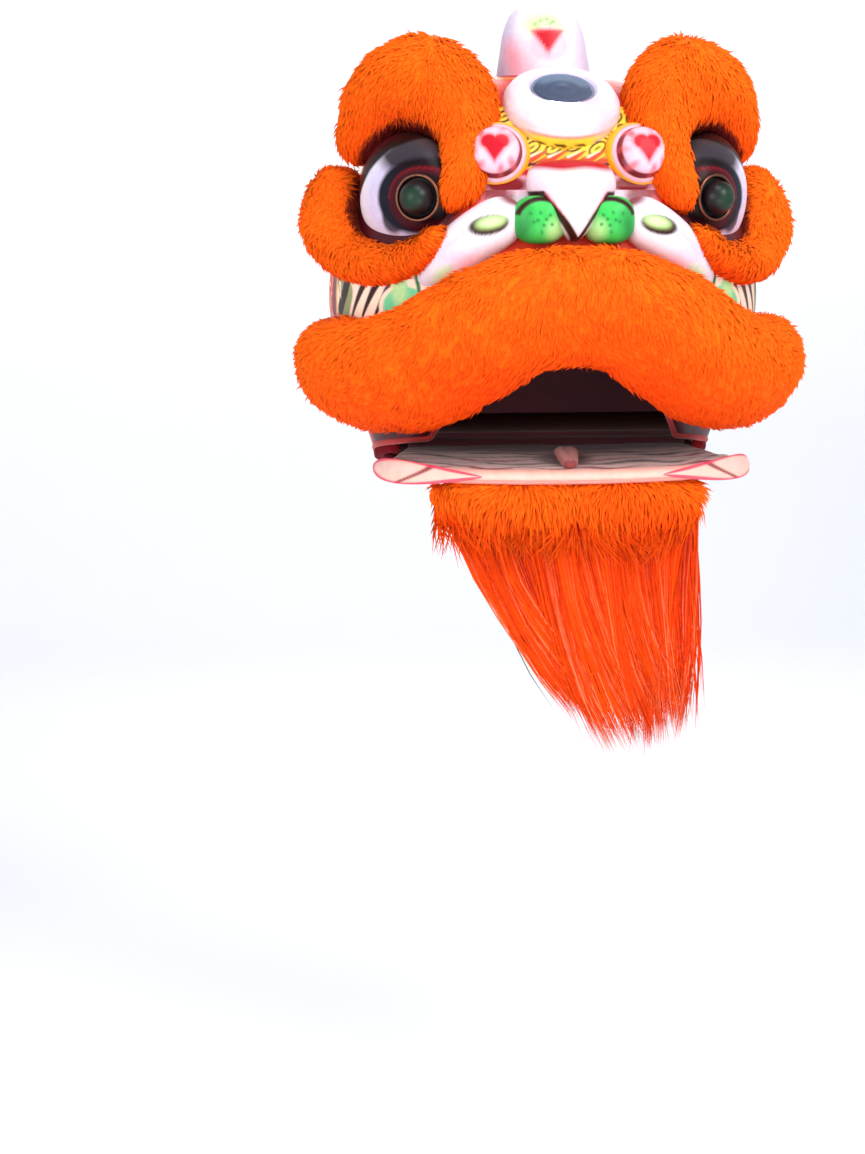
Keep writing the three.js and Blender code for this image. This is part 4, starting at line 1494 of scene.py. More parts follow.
            # A dark red patch at the ridge's inner end, in the hollow beside the nose: painted shade.
            brush.lay(brush.oval((66, 298), (22, 12)), Tint.DARK_RED, 6, 0.9)
            brush.lay(brush.oval((104, 264), (24, 11.5), -12), Tint.BROWN, 2.4)
            brush.lay(brush.oval((102, 267), (19, 8.5), -12), Tint.OLIVE, 3)
            brush.lay(brush.oval((101, 268), (15, 6), -12), Tint.PALE_GREEN, 5)
            brush.lay(brush.stroke([(132, 254), (150, 240), (160, 226)], 6), Tint.OLIVE, 9, 0.5)
            brush.lay(brush.oval((150, 228), (16, 12), -40), Tint.LILAC, 14, 0.7)
            brush.lay(brush.oval((130, 222), (14, 9), -30), Tint.BLUSH, 12, 0.7)
            brush.lay(brush.oval((156, 204), (13, 9), -50), Tint.PALE_GREEN, 9, 0.7)
            return brush.colour

        form = Sheet(f"lip_ridge_form_{side.word}", lambda a, b: roll.place(b, 2 * math.pi * a), 76, 96)
        obj = form.build(paint)
        fit(obj, "head", "white_enamel", self.palette.paint, f"lip_ridge_{side.word}")

    def nostril(self, side: Side) -> None:
        """A bright green nostril, outlined over its top and speckled.

        Args:
            side: The side of the face.
        """
        centre = np.array([side.value * 42, -250, 270.0])

        def place(across: Array, along: Array) -> Array:
            """Bends the grid into the form."""
            turn, fall = 2 * math.pi * across, math.pi * along
            wide, tall = superellipse(turn, 2.7)
            depth = np.sign(np.cos(fall)) * np.abs(np.cos(fall)) ** 0.72
            girth = np.sin(fall)
            return centre + np.stack([32 * girth * wide, -24 * depth - 3, 29 * girth * tall], axis=1)

        def paint(across: Array, along: Array, points: Array) -> Array:
            """Lays the colours."""
            away = points - centre
            brush = Brush(side.value * away[:, 0], away[:, 2], Tint.GREEN)
            # Darker green at the outer side and paler green at the inner side: painted shade and a painted
            # highlight.
            brush.lay(brush.oval((22, -10), (9, 22), 10), Tint.DARK_GREEN, 12, 0.7)
            brush.lay(brush.oval((-18, -12), (12, 14)), Tint.PALE_GREEN, 12, 0.6)
            rim = np.abs(brush.oval((0, -2), (30, 27))) - 2.8
            brush.lay(np.where(away[:, 2] > 6, rim, 9), Tint.BROWN, 1.8)
            for x, z in ((-10, 6), (2, 9), (10, -2), (-2, -6), (-12, -5), (14, 8), (5, 0), (-5, 1), (0, -14)):
                brush.lay(brush.oval((x, z), (2.0, 2.0)), Tint.DARK_GREEN, 1.6, 0.8)
            return brush.colour

        obj = Sheet(f"nostril_form_{side.word}", place, 68, 50).build(paint)
        fit(obj, "head", "green_enamel", self.palette.paint, f"nostril_{side.word}")

    def boss(self, side: Side) -> None:
        """A pink boss with a crimson heart on an orange flange.

        Args:
            side: The side of the face.
        """
        form = Turned(
            ((0, -40), (40, -40), (41, 6), (37, 13), (31, 15), (30, 26), (26, 33), (20, 37), (11, 39.4),
             (0, 40)),
            (side.value * 86, -198, 346), (side.value * 0.2, -0.94, 0.26),
        )

        def paint(across: Array, along: Array, points: Array) -> Array:
            """Lays the colours."""
            x, z, forward = form.flat(points)
            radius = np.hypot(x, z)
            brush = Brush(x, z, Tint.GOLD)
            brush.lay(np.abs(radius - 35) - 1.6, Tint.CRIMSON, 1.4)
            brush.lay(13 - forward, Tint.BLUSH, 2)
            brush.lay(np.abs(radius - 30.5) - 1.5 + np.where(forward > 10, 0, 9), Tint.DARK_RED, 1.4)
            brush.lay(brush.oval((0, -14), (20, 9)) + np.where(forward > 20, 0, 20), Tint.LILAC, 10, 0.7)
            for k in range(11):
                a = 2 * math.pi * k / 11 + 0.35 * math.sin(2.3 * k)
                far = 26 + 2 * math.sin(3.1 * k)
                spot = brush.oval((far * math.cos(a), far * math.sin(a)), (5.5, 3.2), math.degrees(a) + 30)
                brush.lay(spot + np.where(forward > 14, 0, 9), Tint.CORAL, 5, 0.55 + 0.3 * math.sin(k))
            lobes = np.minimum(brush.oval((-7.5, 8), (9.5, 8.5)), brush.oval((7.5, 8), (9.5, 8.5)))
            tip = np.abs(x) * 0.74 - (z + 16) * 0.52
            heart = np.minimum(lobes, np.maximum(np.maximum(tip, z - 8), -17 - z))
            brush.lay(heart - 2.6 + np.where(forward > 20, 0, 20), Tint.CORAL, 5, 0.8)
            brush.lay(heart + np.where(forward > 20, 0, 20), Tint.CRIMSON, 2)
            return brush.colour

        obj = Sheet(f"boss_form_{side.word}", form.place, 96, 76).build(paint)
        fit(obj, "head", "boss_enamel", self.palette.paint, f"forehead_boss_{side.word}")


@dataclass(frozen=True)
class Eye:
    """One painted eye dome with its gilt ring and black pupil."""

    side: Side
    centre: tuple[float, float, float] = (188.0, -140.0, 300.0)
    yaw: float = math.radians(60)
    radii: tuple[float, float, float] = (84.0, 75.0, 47.0)
    pupil: tuple[float, float] = (62.0, -4.0)

    def axes(self) -> tuple[Array, Array, Array]:
        """The way to the nose, the way up and the way the eye looks."""
        hand, sin, cos = self.side.value, math.sin(self.yaw), math.cos(self.yaw)
        return np.array([-hand * cos, -sin, 0]), np.array([0, 0, 1.0]), np.array([hand * sin, -cos, 0])

    def middle(self) -> Array:
        """The dome's middle."""
        return np.array(self.centre) * np.array([self.side.value, 1, 1])

    def shadow(self, points: Array) -> Array:
        """How much painted shadow darkens the fur where it borders the dome's top and outer side, from 0 to
        1.

        Args:
            points: Points of the fur in mm.

        Returns:
            One number for each point.
        """
        nose, up, out = self.axes()
        away = points - self.middle()
        a, b, c = away @ nose, away @ up, away @ out
        reach = np.sqrt((a / self.radii[0]) ** 2 + (b / self.radii[1]) ** 2 + (c / self.radii[2]) ** 2)
        side = np.clip((20 - a + 0.6 * b) / 40, 0, 1) * np.clip((b + 62) / 20, 0, 1)
        return np.clip((1.3 - reach) / 0.12, 0, 1) * side

    def seat(self) -> tuple[Array, Array]:
        """Where the pupil sits on the dome, and the way the dome faces there."""
        nose, up, out = self.axes()
        share = math.sqrt(1 - (self.pupil[0] / self.radii[0]) ** 2)
        at = self.middle() + nose * self.pupil[0] + up * self.pupil[1] + out * self.radii[2] * share
        facing = out * share / self.radii[2] + nose * self.pupil[0] / self.radii[0] ** 2
        return at, unit(facing)

    def build(self, palette: Palette) -> None:
        """Makes the dome, the ring and the pupil."""
        self.dome(palette)
        self.ring(palette)
        self.ball(palette)

    def dome(self, palette: Palette) -> None:
        """The lacquered dome: white at its outer side, darkened at its top and outer edge by painted shade of
        the brow and socket, with a dark iris under the ring.

        Args:
            palette: The materials.
        """
        nose, up, out = self.axes()
        middle = self.middle()

        def place(across: Array, along: Array) -> Array:
            """Bends the grid into the form."""
            turn, fall = 2 * math.pi * across, math.radians(104) * along
            wide = self.radii[0] * np.sin(fall) * np.cos(turn)
            tall = self.radii[1] * np.sin(fall) * np.sin(turn)
            return (middle + nose * wide[:, None] + up * tall[:, None]
                    + out * (self.radii[2] * np.cos(fall))[:, None])

        def paint(across: Array, along: Array, points: Array) -> Array:
            """Lays the colours."""
            away = points - middle
            a, b = away @ nose, away @ up
            brush = Brush(a, b, Tint.WHITE)
            brush.lay(brush.oval((44, 0), (72, 56), 20), Tint.LILAC, 16, 0.9)
            brush.lay(brush.oval((22, -30), (20, 16), 40), Tint.NAVY, 6, 0.9)
            brush.lay(brush.oval((58, -2), (58, 46), 8), Tint.NAVY, 6)
            # Painted shadow of the brow over the dome's top, with the white crescent showing faintly through
            # it.
            brush.lay(26 + 0.62 * np.clip(20 - a, 0, 60) - b, Tint.SHADOW, 20, 0.95)
            brush.lay(brush.stroke([(18, 70), (-8, 44), (-30, 20)], 7), Tint.LILAC, 9, 0.35)
            # Maroon over the upper outer edge: painted shade under the brow.
            beyond = 0.74 * (a + 20) - 0.67 * (b - 40)
            brush.lay(beyond + 8, Tint.MAROON, 4)
            # A broad dark band along the outer edge, painted shade where the dome meets its socket, with a
            # thin maroon line inside it.
            rim = [(40, 80), (0, 62), (-32, 36), (-60, 4), (-74, -30), (-70, -56)]
            brush.lay(brush.stroke(rim, 21.0, False), Tint.SHADOW, 4)
            brush.lay(brush.stroke([(-40, 34), (-66, 0), (-82, -32)], 6.0, False), Tint.MAROON, 4, 0.9)
            brush.lay(brush.oval((62, -6), (42, 40)), Tint.MAROON, 4, 0.8)
            arch = np.abs(brush.oval((62, -6), (40, 38))) - 0.9
            brush.lay(arch + np.where(b > -6, 0, 9), Tint.DARK_RED, 2.4)
            brush.lay(brush.oval((62, -4), (30, 30)), Tint.SHADOW, 3)
            return brush.colour

        obj = Sheet(f"eye_form_{self.side.word}", place, 136, 78, False).build(paint)
        face_out(obj, Vector(middle * MM))
        fit(obj, "head", "eye_enamel", palette.eye, f"eye_dome_{self.side.word}")

    def ring(self, palette: Palette) -> None:
        """The gilt ring round the pupil.

        Args:
            palette: The materials.
        """
        radius, tube = 27, 2.3
        at, facing = self.seat()
        side = unit(np.cross(facing, np.array([0, 0, 1.0])))
        top = np.cross(side, facing)

        def place(across: Array, along: Array) -> Array:
            """Bends the grid into the form."""
            turn, section = 2 * math.pi * along, 2 * math.pi * across
            ray = side * np.cos(turn)[:, None] + top * np.sin(turn)[:, None]
            out, proud = radius + tube * np.cos(section), tube * np.sin(section)
            return at + ray * out[:, None] + facing * proud[:, None]

        obj = Sheet(f"iris_ring_form_{self.side.word}", place, 10, 64).build()
        fit(obj, "head", "gilt", palette.gilt, f"iris_ring_{self.side.word}")

    def ball(self, palette: Palette) -> None:
        """The pupil's ball.

        Args:
            palette: The materials.
        """
        at, facing = self.seat()
        centre = at + facing * 3
        side = unit(np.cross(facing, np.array([0, 0, 1.0])))
        top = np.cross(side, facing)

        def place(across: Array, along: Array) -> Array:
            """Bends the grid into the form."""
            turn, fall = 2 * math.pi * across, math.pi * along
            ray = side * np.cos(turn)[:, None] + top * np.sin(turn)[:, None]
            return centre + ray * (21 * np.sin(fall))[:, None] + facing * (21 * np.cos(fall))[:, None]

        def paint(across: Array, along: Array, points: Array) -> Array:
            """Lays the colours."""
            away = points - centre
            brush = Brush(away @ side, away @ top, Tint.BLACK)
            brush.lay(brush.oval((0, 0), (13, 13)), Tint.DARK_GREEN, 10, 0.16)
            return brush.colour

        obj = Sheet(f"pupil_form_{self.side.word}", place, 36, 24).build(paint)
        fit(obj, "head", "black_gloss", palette.bead, f"pupil_{self.side.word}")


def face_out(obj: bpy.types.Object, centre: Vector) -> None:
    """Turns the faces of an open form away from a point.

    Args:
        obj: The object.
        centre: The point, in metres.
    """
    bm = bmesh.new()
    bm.from_mesh(obj.data)
    inward = [f for f in bm.faces if f.normal.dot(f.calc_center_median() - centre) < 0]
    bmesh.ops.reverse_faces(bm, faces=inward)
    bm.to_mesh(obj.data)
    bm.free()


class Frame:
    """The hoop, the grip bar and the jaw's rod."""

    def __init__(self, palette: Palette, shell: Shell) -> None:
        """Keeps the materials and the shell's form."""
        self.palette = palette
        self.shell = shell

    def build(self) -> None:
        """Makes the hoop and the two bars."""
        self.hoop()
        self.bar("grip_bar", "grip", 13, (0, 0))
        self.bar("jaw_rod", "rod", 6, (-60, -24.5))

    def rim(self, angle: Array, inset: float) -> Array:
        """Points under the shell's rim, found by turns from the plane and the section.

        Args:
            angle: Angles round the head, in radians.
            inset: How far in from the edge, in mm.

        Returns:
            The points in mm.
        """
        point = self.shell.at_height(0 * angle, angle, -inset)
        for _ in range(5):
            point = self.shell.at_height(-RIM_SLOPE * (point[:, 1] + RIM_FOOT), angle, -inset)
        return point

    def hoop(self) -> None:
        """The rattan hoop bound with split cane."""

        def place(across: Array, along: Array) -> Array:
            """Bends the grid into the form."""
            angle = np.radians(-27 + 234 * along)
            point = self.rim(angle, 7.0)
            wrap = 0.7 * np.abs(np.sin(along * 520 + 2 * math.pi * across))
            turn = 2 * math.pi * across
            out = unit(point * np.array([1, 1, 0.0]))
            ends = np.where((along <= 0) | (along >= 1), 0.0, 1.0)
            wide, tall = superellipse(turn, 3.2)
            return (point + np.array([0, 0, -7.4])
                    + out * ((6.2 + wrap) * ends * wide)[:, None]
                    + np.array([0, 0, 1.0]) * ((6.2 + wrap) * ends * tall)[:, None])

        obj = Sheet("rattan_hoop", place, 10, 400).build()
        fit(obj, "head", "wrapped_rattan", self.palette.cane, "base_hoop")

    def bar(self, node: str, name: str, radius: float, at: tuple[float, float]) -> None:
        """A bamboo bar with its knuckles.

        Args:
            node: The CAD node.
            name: The last word of the object's name.
            radius: Its radius in mm.
            at: Its Y and Z in mm.
        """
        low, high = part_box(node)

        def place(across: Array, along: Array) -> Array:
            """Bends the grid into the form."""
            x = (low[0] + (high[0] - low[0]) * along) / MM
            knuckle = sum(np.exp(-(((x - k) / 3.5) ** 2)) for k in (-150, -45, 62, 168))
            size = (radius * (0.965 + 0.035 * knuckle)) * np.where((along <= 0) | (along >= 1), 0, 1)
            turn = 2 * math.pi * across
            return np.stack([x, at[0] + size * np.cos(turn), at[1] + size * np.sin(turn)], axis=1)

        obj = Sheet(f"bamboo_{name}", place, 18, 70).build()
        fit(obj, "head", "bamboo", self.palette.bamboo, node)


class Mouth:
    """The jaw: its board, satin lip, piping, tongue, chin fur and beard."""

    def __init__(self, palette: Palette, shell: Shell) -> None:
        """Keeps the materials and the shell's form."""
        self.palette = palette
        self.shell = shell
        self.jaw = Jaw()

    def build(self) -> None:
        """Makes every piece of the jaw."""
        self.board()
        self.lip()
        for side in Side:
            self.lip_leaf(side)
        self.piping()
        self.tongue()
        chin = JawRoll(
            self.jaw, math.radians(37), 11, -29,
            lambda s: (27 * fullness(s, 0.35), 28 * fullness(s, 0.35)),
        )
        FurRoll("chin", chin, 7000, 20, "chin_fur", "jaw", 61, 40, 90, True).build(self.palette, self.shell)
        Beard(self.palette).build()

    def board(self) -> None:
        """The cloth-covered board: grey pink, with wavy brown lines along the gums and painted shade deeper
        in the mouth.
        """

        def place(across: Array, along: Array) -> Array:
            """Bends the grid into the form."""
            u = 2 * across - 1
            top = along <= 0.5
            share = np.where(top, 2 * along, 2 - 2 * along)
            front = self.jaw.edge(math.pi / 2 * (1 - u), 1.0)
            back = np.stack([184 * u, np.full_like(u, -10.0), 0 * u], axis=1)
            point = back + (front - back) * share[:, None]
            thick = 4 * np.sqrt(np.clip(1 - np.abs(u) ** 16, 0, 1))
            fold = 1.3 * np.sin(point[:, 1] / 5.2 + 2.2 * np.sin(point[:, 0] / 31))
            gum = 5 * np.clip((share - 0.72) / 0.28, 0, 1) * (1 - share) * 8
            lift = np.where(top, thick * (1 + 0.1 * fold) + gum * (np.abs(u) < 0.98), -thick)
            rim = np.where((share <= 0) | (share >= 1), 0, 1)
            return self.jaw.world(point + np.stack([0 * u, 0 * u, lift * rim], axis=1))

        def paint(across: Array, along: Array, points: Array) -> Array:
            """Lays the colours."""
            x, y, _ = points.T
            brush = Brush(x, y, Tint.GREY_PINK)
            # Browner behind the front edge: painted shade deeper in the mouth.
            brush.lay(-y - 236 + 0.0011 * x * x, Tint.BROWN, 60, 0.35)
            for k in range(6):
                level = -244 + 21 * k + 5.5 * np.sin(x / (12 + 2 * k) + k) + 0.0009 * x * x
                width = 3.4 + 2.0 * np.sin(x / 23 + 2 * k)
                brush.lay(np.abs(y - level) - width, Tint.BROWN if k % 3 else Tint.DARK_RED, 2.2, 0.95)
            # Maroon under the tongue and towards the back: painted shade.
            brush.lay(brush.oval((4, -172), (34, 40)), Tint.MAROON, 16, 0.9)
            brush.lay(-126 - y + 0.0006 * x * x, Tint.MAROON, 26)
            return brush.colour

        obj = Sheet("jaw_cloth", place, 150, 96).build(paint)
        fit(obj, "jaw", "mouth_cloth", self.palette.cloth, "jaw_board")

        def sleeve(across: Array, along: Array) -> Array:
            """Bends the grid into the sleeve round the rod."""
            turn = 2 * math.pi * across
            size = 12 * np.where((along <= 0) | (along >= 1), 0.56, 1)
            x = -182 + 364 * along
            return self.jaw.world(np.stack([x, size * np.cos(turn), size * np.sin(turn)], axis=1))

        obj = Sheet("jaw_sleeve", sleeve, 18, 40).build(lambda a, b, p: Brush(a, b, Tint.MAROON).colour)
        fit(obj, "jaw", "mouth_cloth", self.palette.cloth)

    def lip(self) -> None:
        """The padded satin lip, thin at its ends and rosier underneath."""
        roll = JawRoll(self.jaw, 0.02, 0, 0, lambda s: (12 * fullness(s, 0.45), 9 * fullness(s, 0.45)))

        def place(across: Array, along: Array) -> Array:
            """Bends the grid into the form."""
            turn = 2 * math.pi * across
            plain = roll.place(along, turn)
            return roll.place(along, turn, 0.5 * ripple(plain, 16, 2.0))

        def paint(across: Array, along: Array, points: Array) -> Array:
            """Lays the colours."""
            turn = np.mod(360 * across, 360)
            x = points[:, 0]
            brush = Brush(x, turn, Tint.PETAL)
            brush.lay(brush.oval((0, 250), (400, 60)), Tint.ROSE, 40, 0.7)
            return brush.colour

        obj = Sheet("lip_form", place, 30, 240).build(paint)
        fit(obj, "jaw", "lip_satin", self.palette.satin, "jaw_lip")

    def lip_leaf(self, side: Side) -> None:
        """The leaf-shaped end of the lip: flat, pointed and edged in magenta.

        Args:
            side: The side of the face.
        """
        start, end = 0.02, 1.1
        thick, tall = 4.0, 15.0

        def place(across: Array, along: Array) -> Array:
            """Points round the leaf's flat section, at shares from its outer point inwards."""
            angle = start + (end - start) * along
            centre = self.jaw.edge(angle, -12.0) + np.array([0, 0, 2.0])
            way = unit(self.jaw.edge(angle + 0.01, -12.0) - self.jaw.edge(angle - 0.01, -12.0))
            out = unit(np.cross(np.array([0, 0, 1.0]), way))
            out *= np.sign(centre[:, 1:2] * out[:, 1:2])
            up = unit(np.array([0, 0, 1.0]) - 0.35 * out)
            leaf = np.clip(np.sin(math.pi * along**0.8), 0, 1) ** 0.75
            turn = 2 * math.pi * across
            flat = np.cross(way, up)
            point = centre + up * (tall * leaf * np.sin(turn))[:, None]
            point += flat * (thick * np.sqrt(leaf) * np.cos(turn))[:, None]
            return self.jaw.world(point * np.array([side.value, 1, 1]))

        def paint(across: Array, along: Array, points: Array) -> Array:
            """Cream, with a curved dark red line across and a magenta edge."""
            length = 128 * along
            height = tall * np.sin(2 * math.pi * across)
            leaf = tall * np.clip(np.sin(math.pi * along**0.8), 0, 1) ** 0.75
            brush = Brush(length, height, Tint.PETAL)
            brush.lay(brush.oval((40, 4), (34, 7)), Tint.GREY_PINK, 9, 0.8)
            brush.lay(np.abs(length - 78 - 1.2 * height + 0.03 * height**2) - 3.4, Tint.DARK_RED, 2.4, 0.95)
            edge = leaf - np.abs(height)
            brush.lay(edge - 3.2 * np.clip(1.1 - length / 110, 0, 1), Tint.MAGENTA, 2.0, 0.9)
            brush.lay(length - 14, Tint.MAGENTA, 10, 0.9)
            return brush.colour

        obj = Sheet(f"lip_leaf_{side.word}", place, 44, 110).build(paint)
        fit(obj, "jaw", "lip_satin", self.palette.satin)

    def piping(self) -> None:
        """The magenta piping sewn under the lip."""
        roll = JawRoll(self.jaw, 0.05, -11, -4, lambda s: (2.8 + 0 * s, 2.8 + 0 * s))

        def place(across: Array, along: Array) -> Array:
            """Bends the grid into the form."""
            turn = 2 * math.pi * across
            return roll.place(along, turn, 0.25 * np.sin(along * 1500 + turn * 2))

        obj = Sheet("piping", place, 8, 400).build(
            lambda a, b, p: Brush(p[:, 0], b, Tint.ROSE).lay(150 - np.abs(p[:, 0]), Tint.MAGENTA, 30).colour
        )
        fit(obj, "jaw", "piping_cord", self.palette.satin, "lip_piping")

    def tongue(self) -> None:
        """The small stuffed tongue."""
        rows = np.array([
            (-74, 8, 6, 4), (-86, 9, 15, 7), (-134, 10, 13, 8), (-178, 10, 9, 7), (-190, 10, 4, 3),
        ], float)

        def place(across: Array, along: Array) -> Array:
            """Bends the grid into the form."""
            y, z, wide, deep = splined(rows, along).T
            turn = 2 * math.pi * across
            ends = np.where((along <= 0) | (along >= 1), 0, 1)
            groove = 1 - 0.28 * np.exp(-((np.cos(turn) / 0.3) ** 2)) * (np.sin(turn) > 0)
            lean = 12 * (y + 190) / 116
            return self.jaw.world(np.stack(
                [wide * ends * np.cos(turn) + lean, y, z + deep * ends * np.sin(turn) * groove], axis=1))

        def paint(across: Array, along: Array, points: Array) -> Array:
            """Lays the colours."""
            x, y, _ = points.T
            brush = Brush(x, y, Tint.SALMON)
            brush.lay(np.abs(x - 6) - 0.9, Tint.DARK_RED, 2, 0.5)
            brush.lay(y + 240, Tint.DARK_RED, 8, 0.7)
            return brush.colour

        obj = Sheet("tongue_form", place, 28, 48).build(paint)
        fit(obj, "jaw", "tongue_cloth", self.palette.cloth, "tongue")


@dataclass
class Beard:
    """The long straight beard, sewn under the chin and blown a little to one side."""

    palette: Palette
    centre: float = 14.0
    half: float = 160.0
    root: float = -88.0
    tip: float = -408.0
    sweep: float = 88.0
    count: int = 3500
    seed: int = 71

    def front(self, x: Array) -> Array:
        """How far forward the beard hangs at a distance across the chin."""
        return -240 + 0.0012 * x * x

    def build(self) -> None:
        """Makes the backing strip and the strands."""
        self.backing()
        rng = np.random.default_rng(self.seed)
        locks = 46
        lock = rng.integers(0, locks, self.count)
        lock_x = np.linspace(-self.half + 6, self.half - 6, locks)[lock] + self.centre
        lock_tip = rng.normal(0, 11, locks)[lock]
        lock_drop = rng.uniform(-70, 10, locks)[lock]
        stray = np.clip(rng.normal(0, 1, self.count), -1.9, 1.9) ** 3
        lock_deep = rng.uniform(0, 1, locks)[lock]
        start_x = lock_x + rng.normal(0, 7, self.count)
        start_x = np.clip(start_x, self.centre - self.half, self.centre + self.half)
        behind = 11 * (0.6 * lock_deep + 0.4 * rng.uniform(0, 1, self.count)) - 3
        length = (self.root - self.tip + lock_drop) * rng.uniform(0.72, 1.0, self.count) ** 0.6
        length -= np.maximum(0, -lock_x) * 0.25
        tip_x = self.sweep + 0.42 * (lock_x - self.sweep / 4) + lock_tip
        stations = 6
        rows = []
        for i in range(stations):
            t = i / (stations - 1)
            spread = (start_x - lock_x) * (1 - 0.6 * t)
            wave = 4 * np.sin(5 * t + lock_x) + 3.5 * stray * t**1.5
            x = lock_x + (tip_x - lock_x) * t**1.7 + spread + wave
            y = self.front(lock_x) * (1 - t) + (self.front(tip_x / 2) + 12) * t + behind * (1 - 0.4 * t)
            rise = 12 * (np.abs(lock_x - self.centre) / self.half) ** 2 * (1 - t) + 8 * (1 - t)
            rows.append(np.stack([x, y, self.root + rise - length * t], axis=1))
        paths = np.stack(rows, axis=1)
        ahead = np.where(behind > 4.5, 1.0, -1.0)
        facing = unit(np.stack([0.25 * np.sin(lock_x), ahead, np.full(self.count, 0.25)], axis=1))
        # Locks hanging further back are darker red: painted shade among the strands; the rest varies at
        # random.
        tone = rng.uniform(0, 1, (self.count, 1)) * 0.65 + 0.35 * (1 - lock_deep[:, None])
        pale = (rng.uniform(0, 1, (self.count, 1)) < 0.16) * 0.7
        root = linear(Tint.DEEP_RED) * (1 - tone) + linear(Tint.ORANGE) * tone
        tip = linear(Tint.DEEP_RED) * (1 - tone) + linear(Tint.ORANGE) * tone
        tip = tip * (1 - pale) + linear(Tint.STRAW_PINK) * pale
        radius = rng.uniform(1.0, 1.9, self.count)
        obj = Strands("beard_strands", paths, radius, facing, root, tip, 0.7).build()
        fit(obj, "jaw", "beard_hair", self.palette.hair, "beard")

    def backing(self) -> None:
        """The strip of cloth that the strands are sewn to."""

        def place(across: Array, along: Array) -> Array:
            """Bends the grid into the form."""
            x = self.centre + self.half * (2 * across - 1)
            turn = 2 * math.pi * along
            edge = np.where((across <= 0) | (across >= 1), 0, 1)
            y = self.front(x) + 9 + 3 * edge * np.cos(turn)
            return np.stack([x, y, -98 + 12 * edge * np.sin(turn)], axis=1)

        obj = Sheet("beard_backing", place, 60, 16).build(lambda a, b, p: Brush(a, b, Tint.DEEP_RED).colour)
        fit(obj, "jaw", "beard_hair", self.palette.cloth)


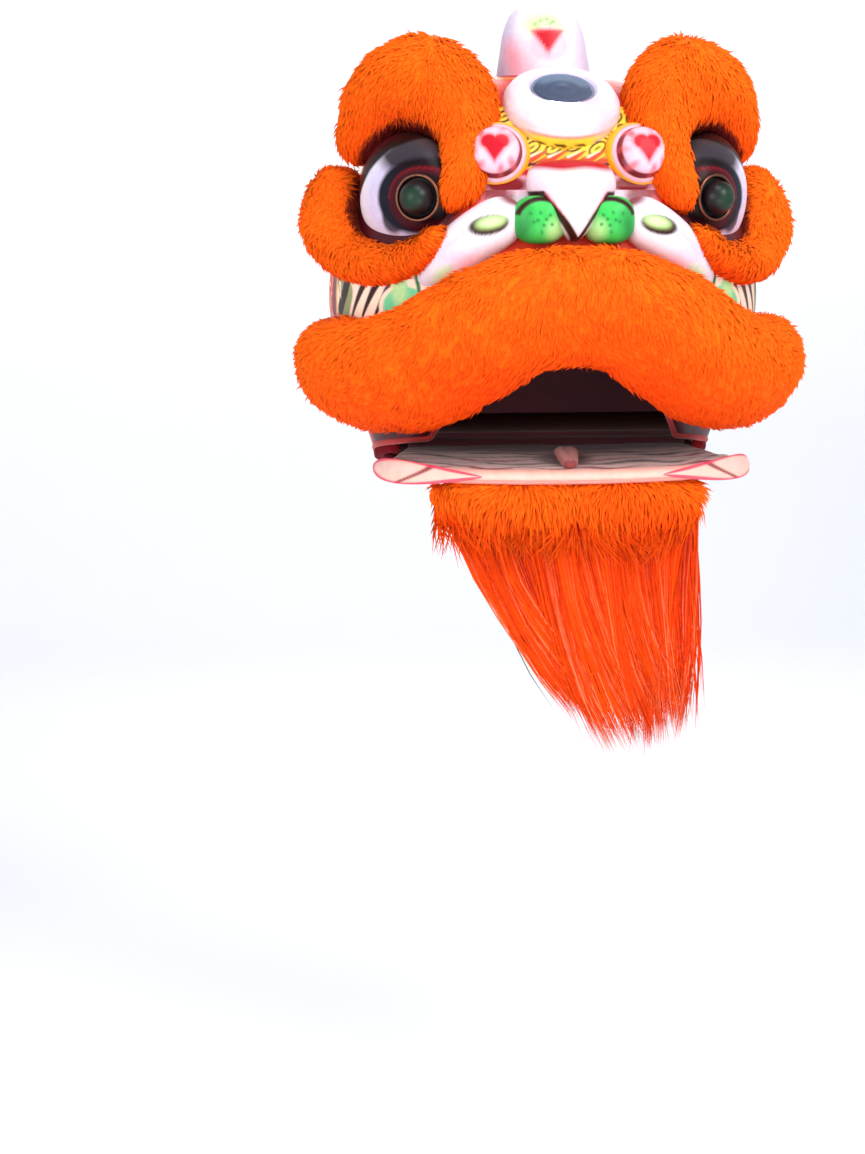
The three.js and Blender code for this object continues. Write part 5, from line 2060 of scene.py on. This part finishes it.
class Studio:
    """The camera, the lights, the pale floor and the backdrop."""

    def build(self) -> None:
        """Makes them all."""
        self.camera()
        self.floor()
        self.lights()

    def camera(self) -> None:
        """A camera at the photograph's viewing angle."""
        a, e = math.radians(-6.5), math.radians(9.5)
        back = Vector((math.sin(a) * math.cos(e), -math.cos(a) * math.cos(e), math.sin(e)))
        data = bpy.data.cameras.new("view")
        data.sensor_fit = "VERTICAL"
        data.sensor_height = 24.0
        data.lens = 49.913
        data.clip_end = 60
        camera = bpy.data.objects.new("view", data)
        camera.rotation_mode = "QUATERNION"
        turn = Vector.to_track_quat(-back, "-Z", "Y")
        camera.rotation_quaternion = turn
        camera.location = Vector((-0.14254, -0.00151, -0.20541)) + back * 3.2
        bpy.context.scene.collection.objects.link(camera)
        bpy.context.scene.camera = camera

    def floor(self) -> None:
        """A pale floor that curves up into the backdrop."""
        sweep = [(-6.0, -0.95), (3.2, -0.95)]
        turns = np.radians(np.arange(9, 91, 9))
        sweep += [(3.2 + 1.2 * math.sin(t), 0.25 - 1.2 * math.cos(t)) for t in turns]
        sweep.append((4.4, 7.0))
        bm = bmesh.new()
        bottom = [bm.verts.new((-9, y, z)) for y, z in sweep]
        edges = [bm.edges.new(pair) for pair in zip(bottom, bottom[1:])]
        made = bmesh.ops.extrude_edge_only(bm, edges=edges)["geom"]
        moved = [item for item in made if isinstance(item, bmesh.types.BMVert)]
        bmesh.ops.translate(bm, verts=moved, vec=(18, 0, 0))
        bmesh.ops.recalc_face_normals(bm, faces=bm.faces)
        obj = finished("floor", bm)
        material = bpy.data.materials.new("pale_floor")
        material.use_nodes = True
        shader = material.node_tree.nodes["Principled BSDF"]
        shader.inputs["Base Color"].default_value = (0.95, 0.95, 0.95, 1)
        shader.inputs["Roughness"].default_value = 0.7
        obj.data.materials.append(material)

    def lights(self) -> None:
        """A broad key from the upper right, a fill, top, back and bounce light, and a soft sky."""
        for name, at, size, power in (
            ("key", (1.9, -2.8, 2.5), 2.0, 112),
            ("fill", (-2.8, -2.6, 0.8), 2.4, 62),
            ("top", (0.0, -1.3, 3.2), 1.7, 46),
            ("back", (0.4, 3.0, 1.9), 2.0, 30),
            ("bounce", (0.3, -2.4, -0.85), 1.6, 26),
        ):
            data = bpy.data.lights.new(name, "AREA")
            data.shape = "DISK"
            data.size = size
            data.energy = power
            light = bpy.data.objects.new(name, data)
            light.location = at
            light.rotation_mode = "QUATERNION"
            light.rotation_quaternion = (Vector((0, -0.1, 0.15)) - Vector(at)).to_track_quat("-Z", "Y")
            bpy.context.scene.collection.objects.link(light)
        world = bpy.data.worlds.new("studio")
        world.use_nodes = True
        tree = world.node_tree
        place = add_node(tree, "ShaderNodeTexCoord").outputs["Generated"]
        height = add_node(tree, "ShaderNodeSeparateXYZ", {0: place})
        sky = add_node(tree, "ShaderNodeMix", {"Factor": height.outputs[2], "A": (0.97, 0.97, 1.0, 1),
                                               "B": (0.10, 0.15, 0.26, 1)}, data_type="RGBA")
        background = tree.nodes["Background"]
        tree.links.new(sky.outputs[2], background.inputs["Color"])
        background.inputs["Strength"].default_value = 1.05
        bpy.context.scene.world = world
        bpy.context.scene.view_settings.view_transform = "Standard"


def face_rolls() -> list[FurRoll]:
    """The fur rolls of the face."""
    muzzle = tuple((-x, *rest) for x, *rest in MUZZLE_HALF[:0:-1]) + MUZZLE_HALF
    rolls = [FurRoll("muzzle", Roll(muzzle), 15400, 15, "muzzle_fur", "head", 11, 64, 200)]
    for side in Side:
        tag, hand = side.word, side.value
        for name, rows, count, length, seed in (("brow", BROW, 7800, 15, 21), ("cheek", CHEEK, 4800, 14, 31)):
            form = Roll(rows, hand)
            node = f"{name}_fur_{tag}"
            rolls.append(FurRoll(f"{name}_{tag}", form, count, length, node, "head", seed + hand))
    return rolls


def main() -> None:
    """Builds the head over its frame."""
    logging.basicConfig(level=logging.INFO, format="%(message)s")
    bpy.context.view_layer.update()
    palette, shell = Palette(), Shell()
    Studio().build()
    Face(palette, shell).build()
    Frame(palette, shell).build()
    Mouth(palette, shell).build()
    for roll in face_rolls():
        roll.build(palette, shell)


if __name__ == "__main__":
    main()
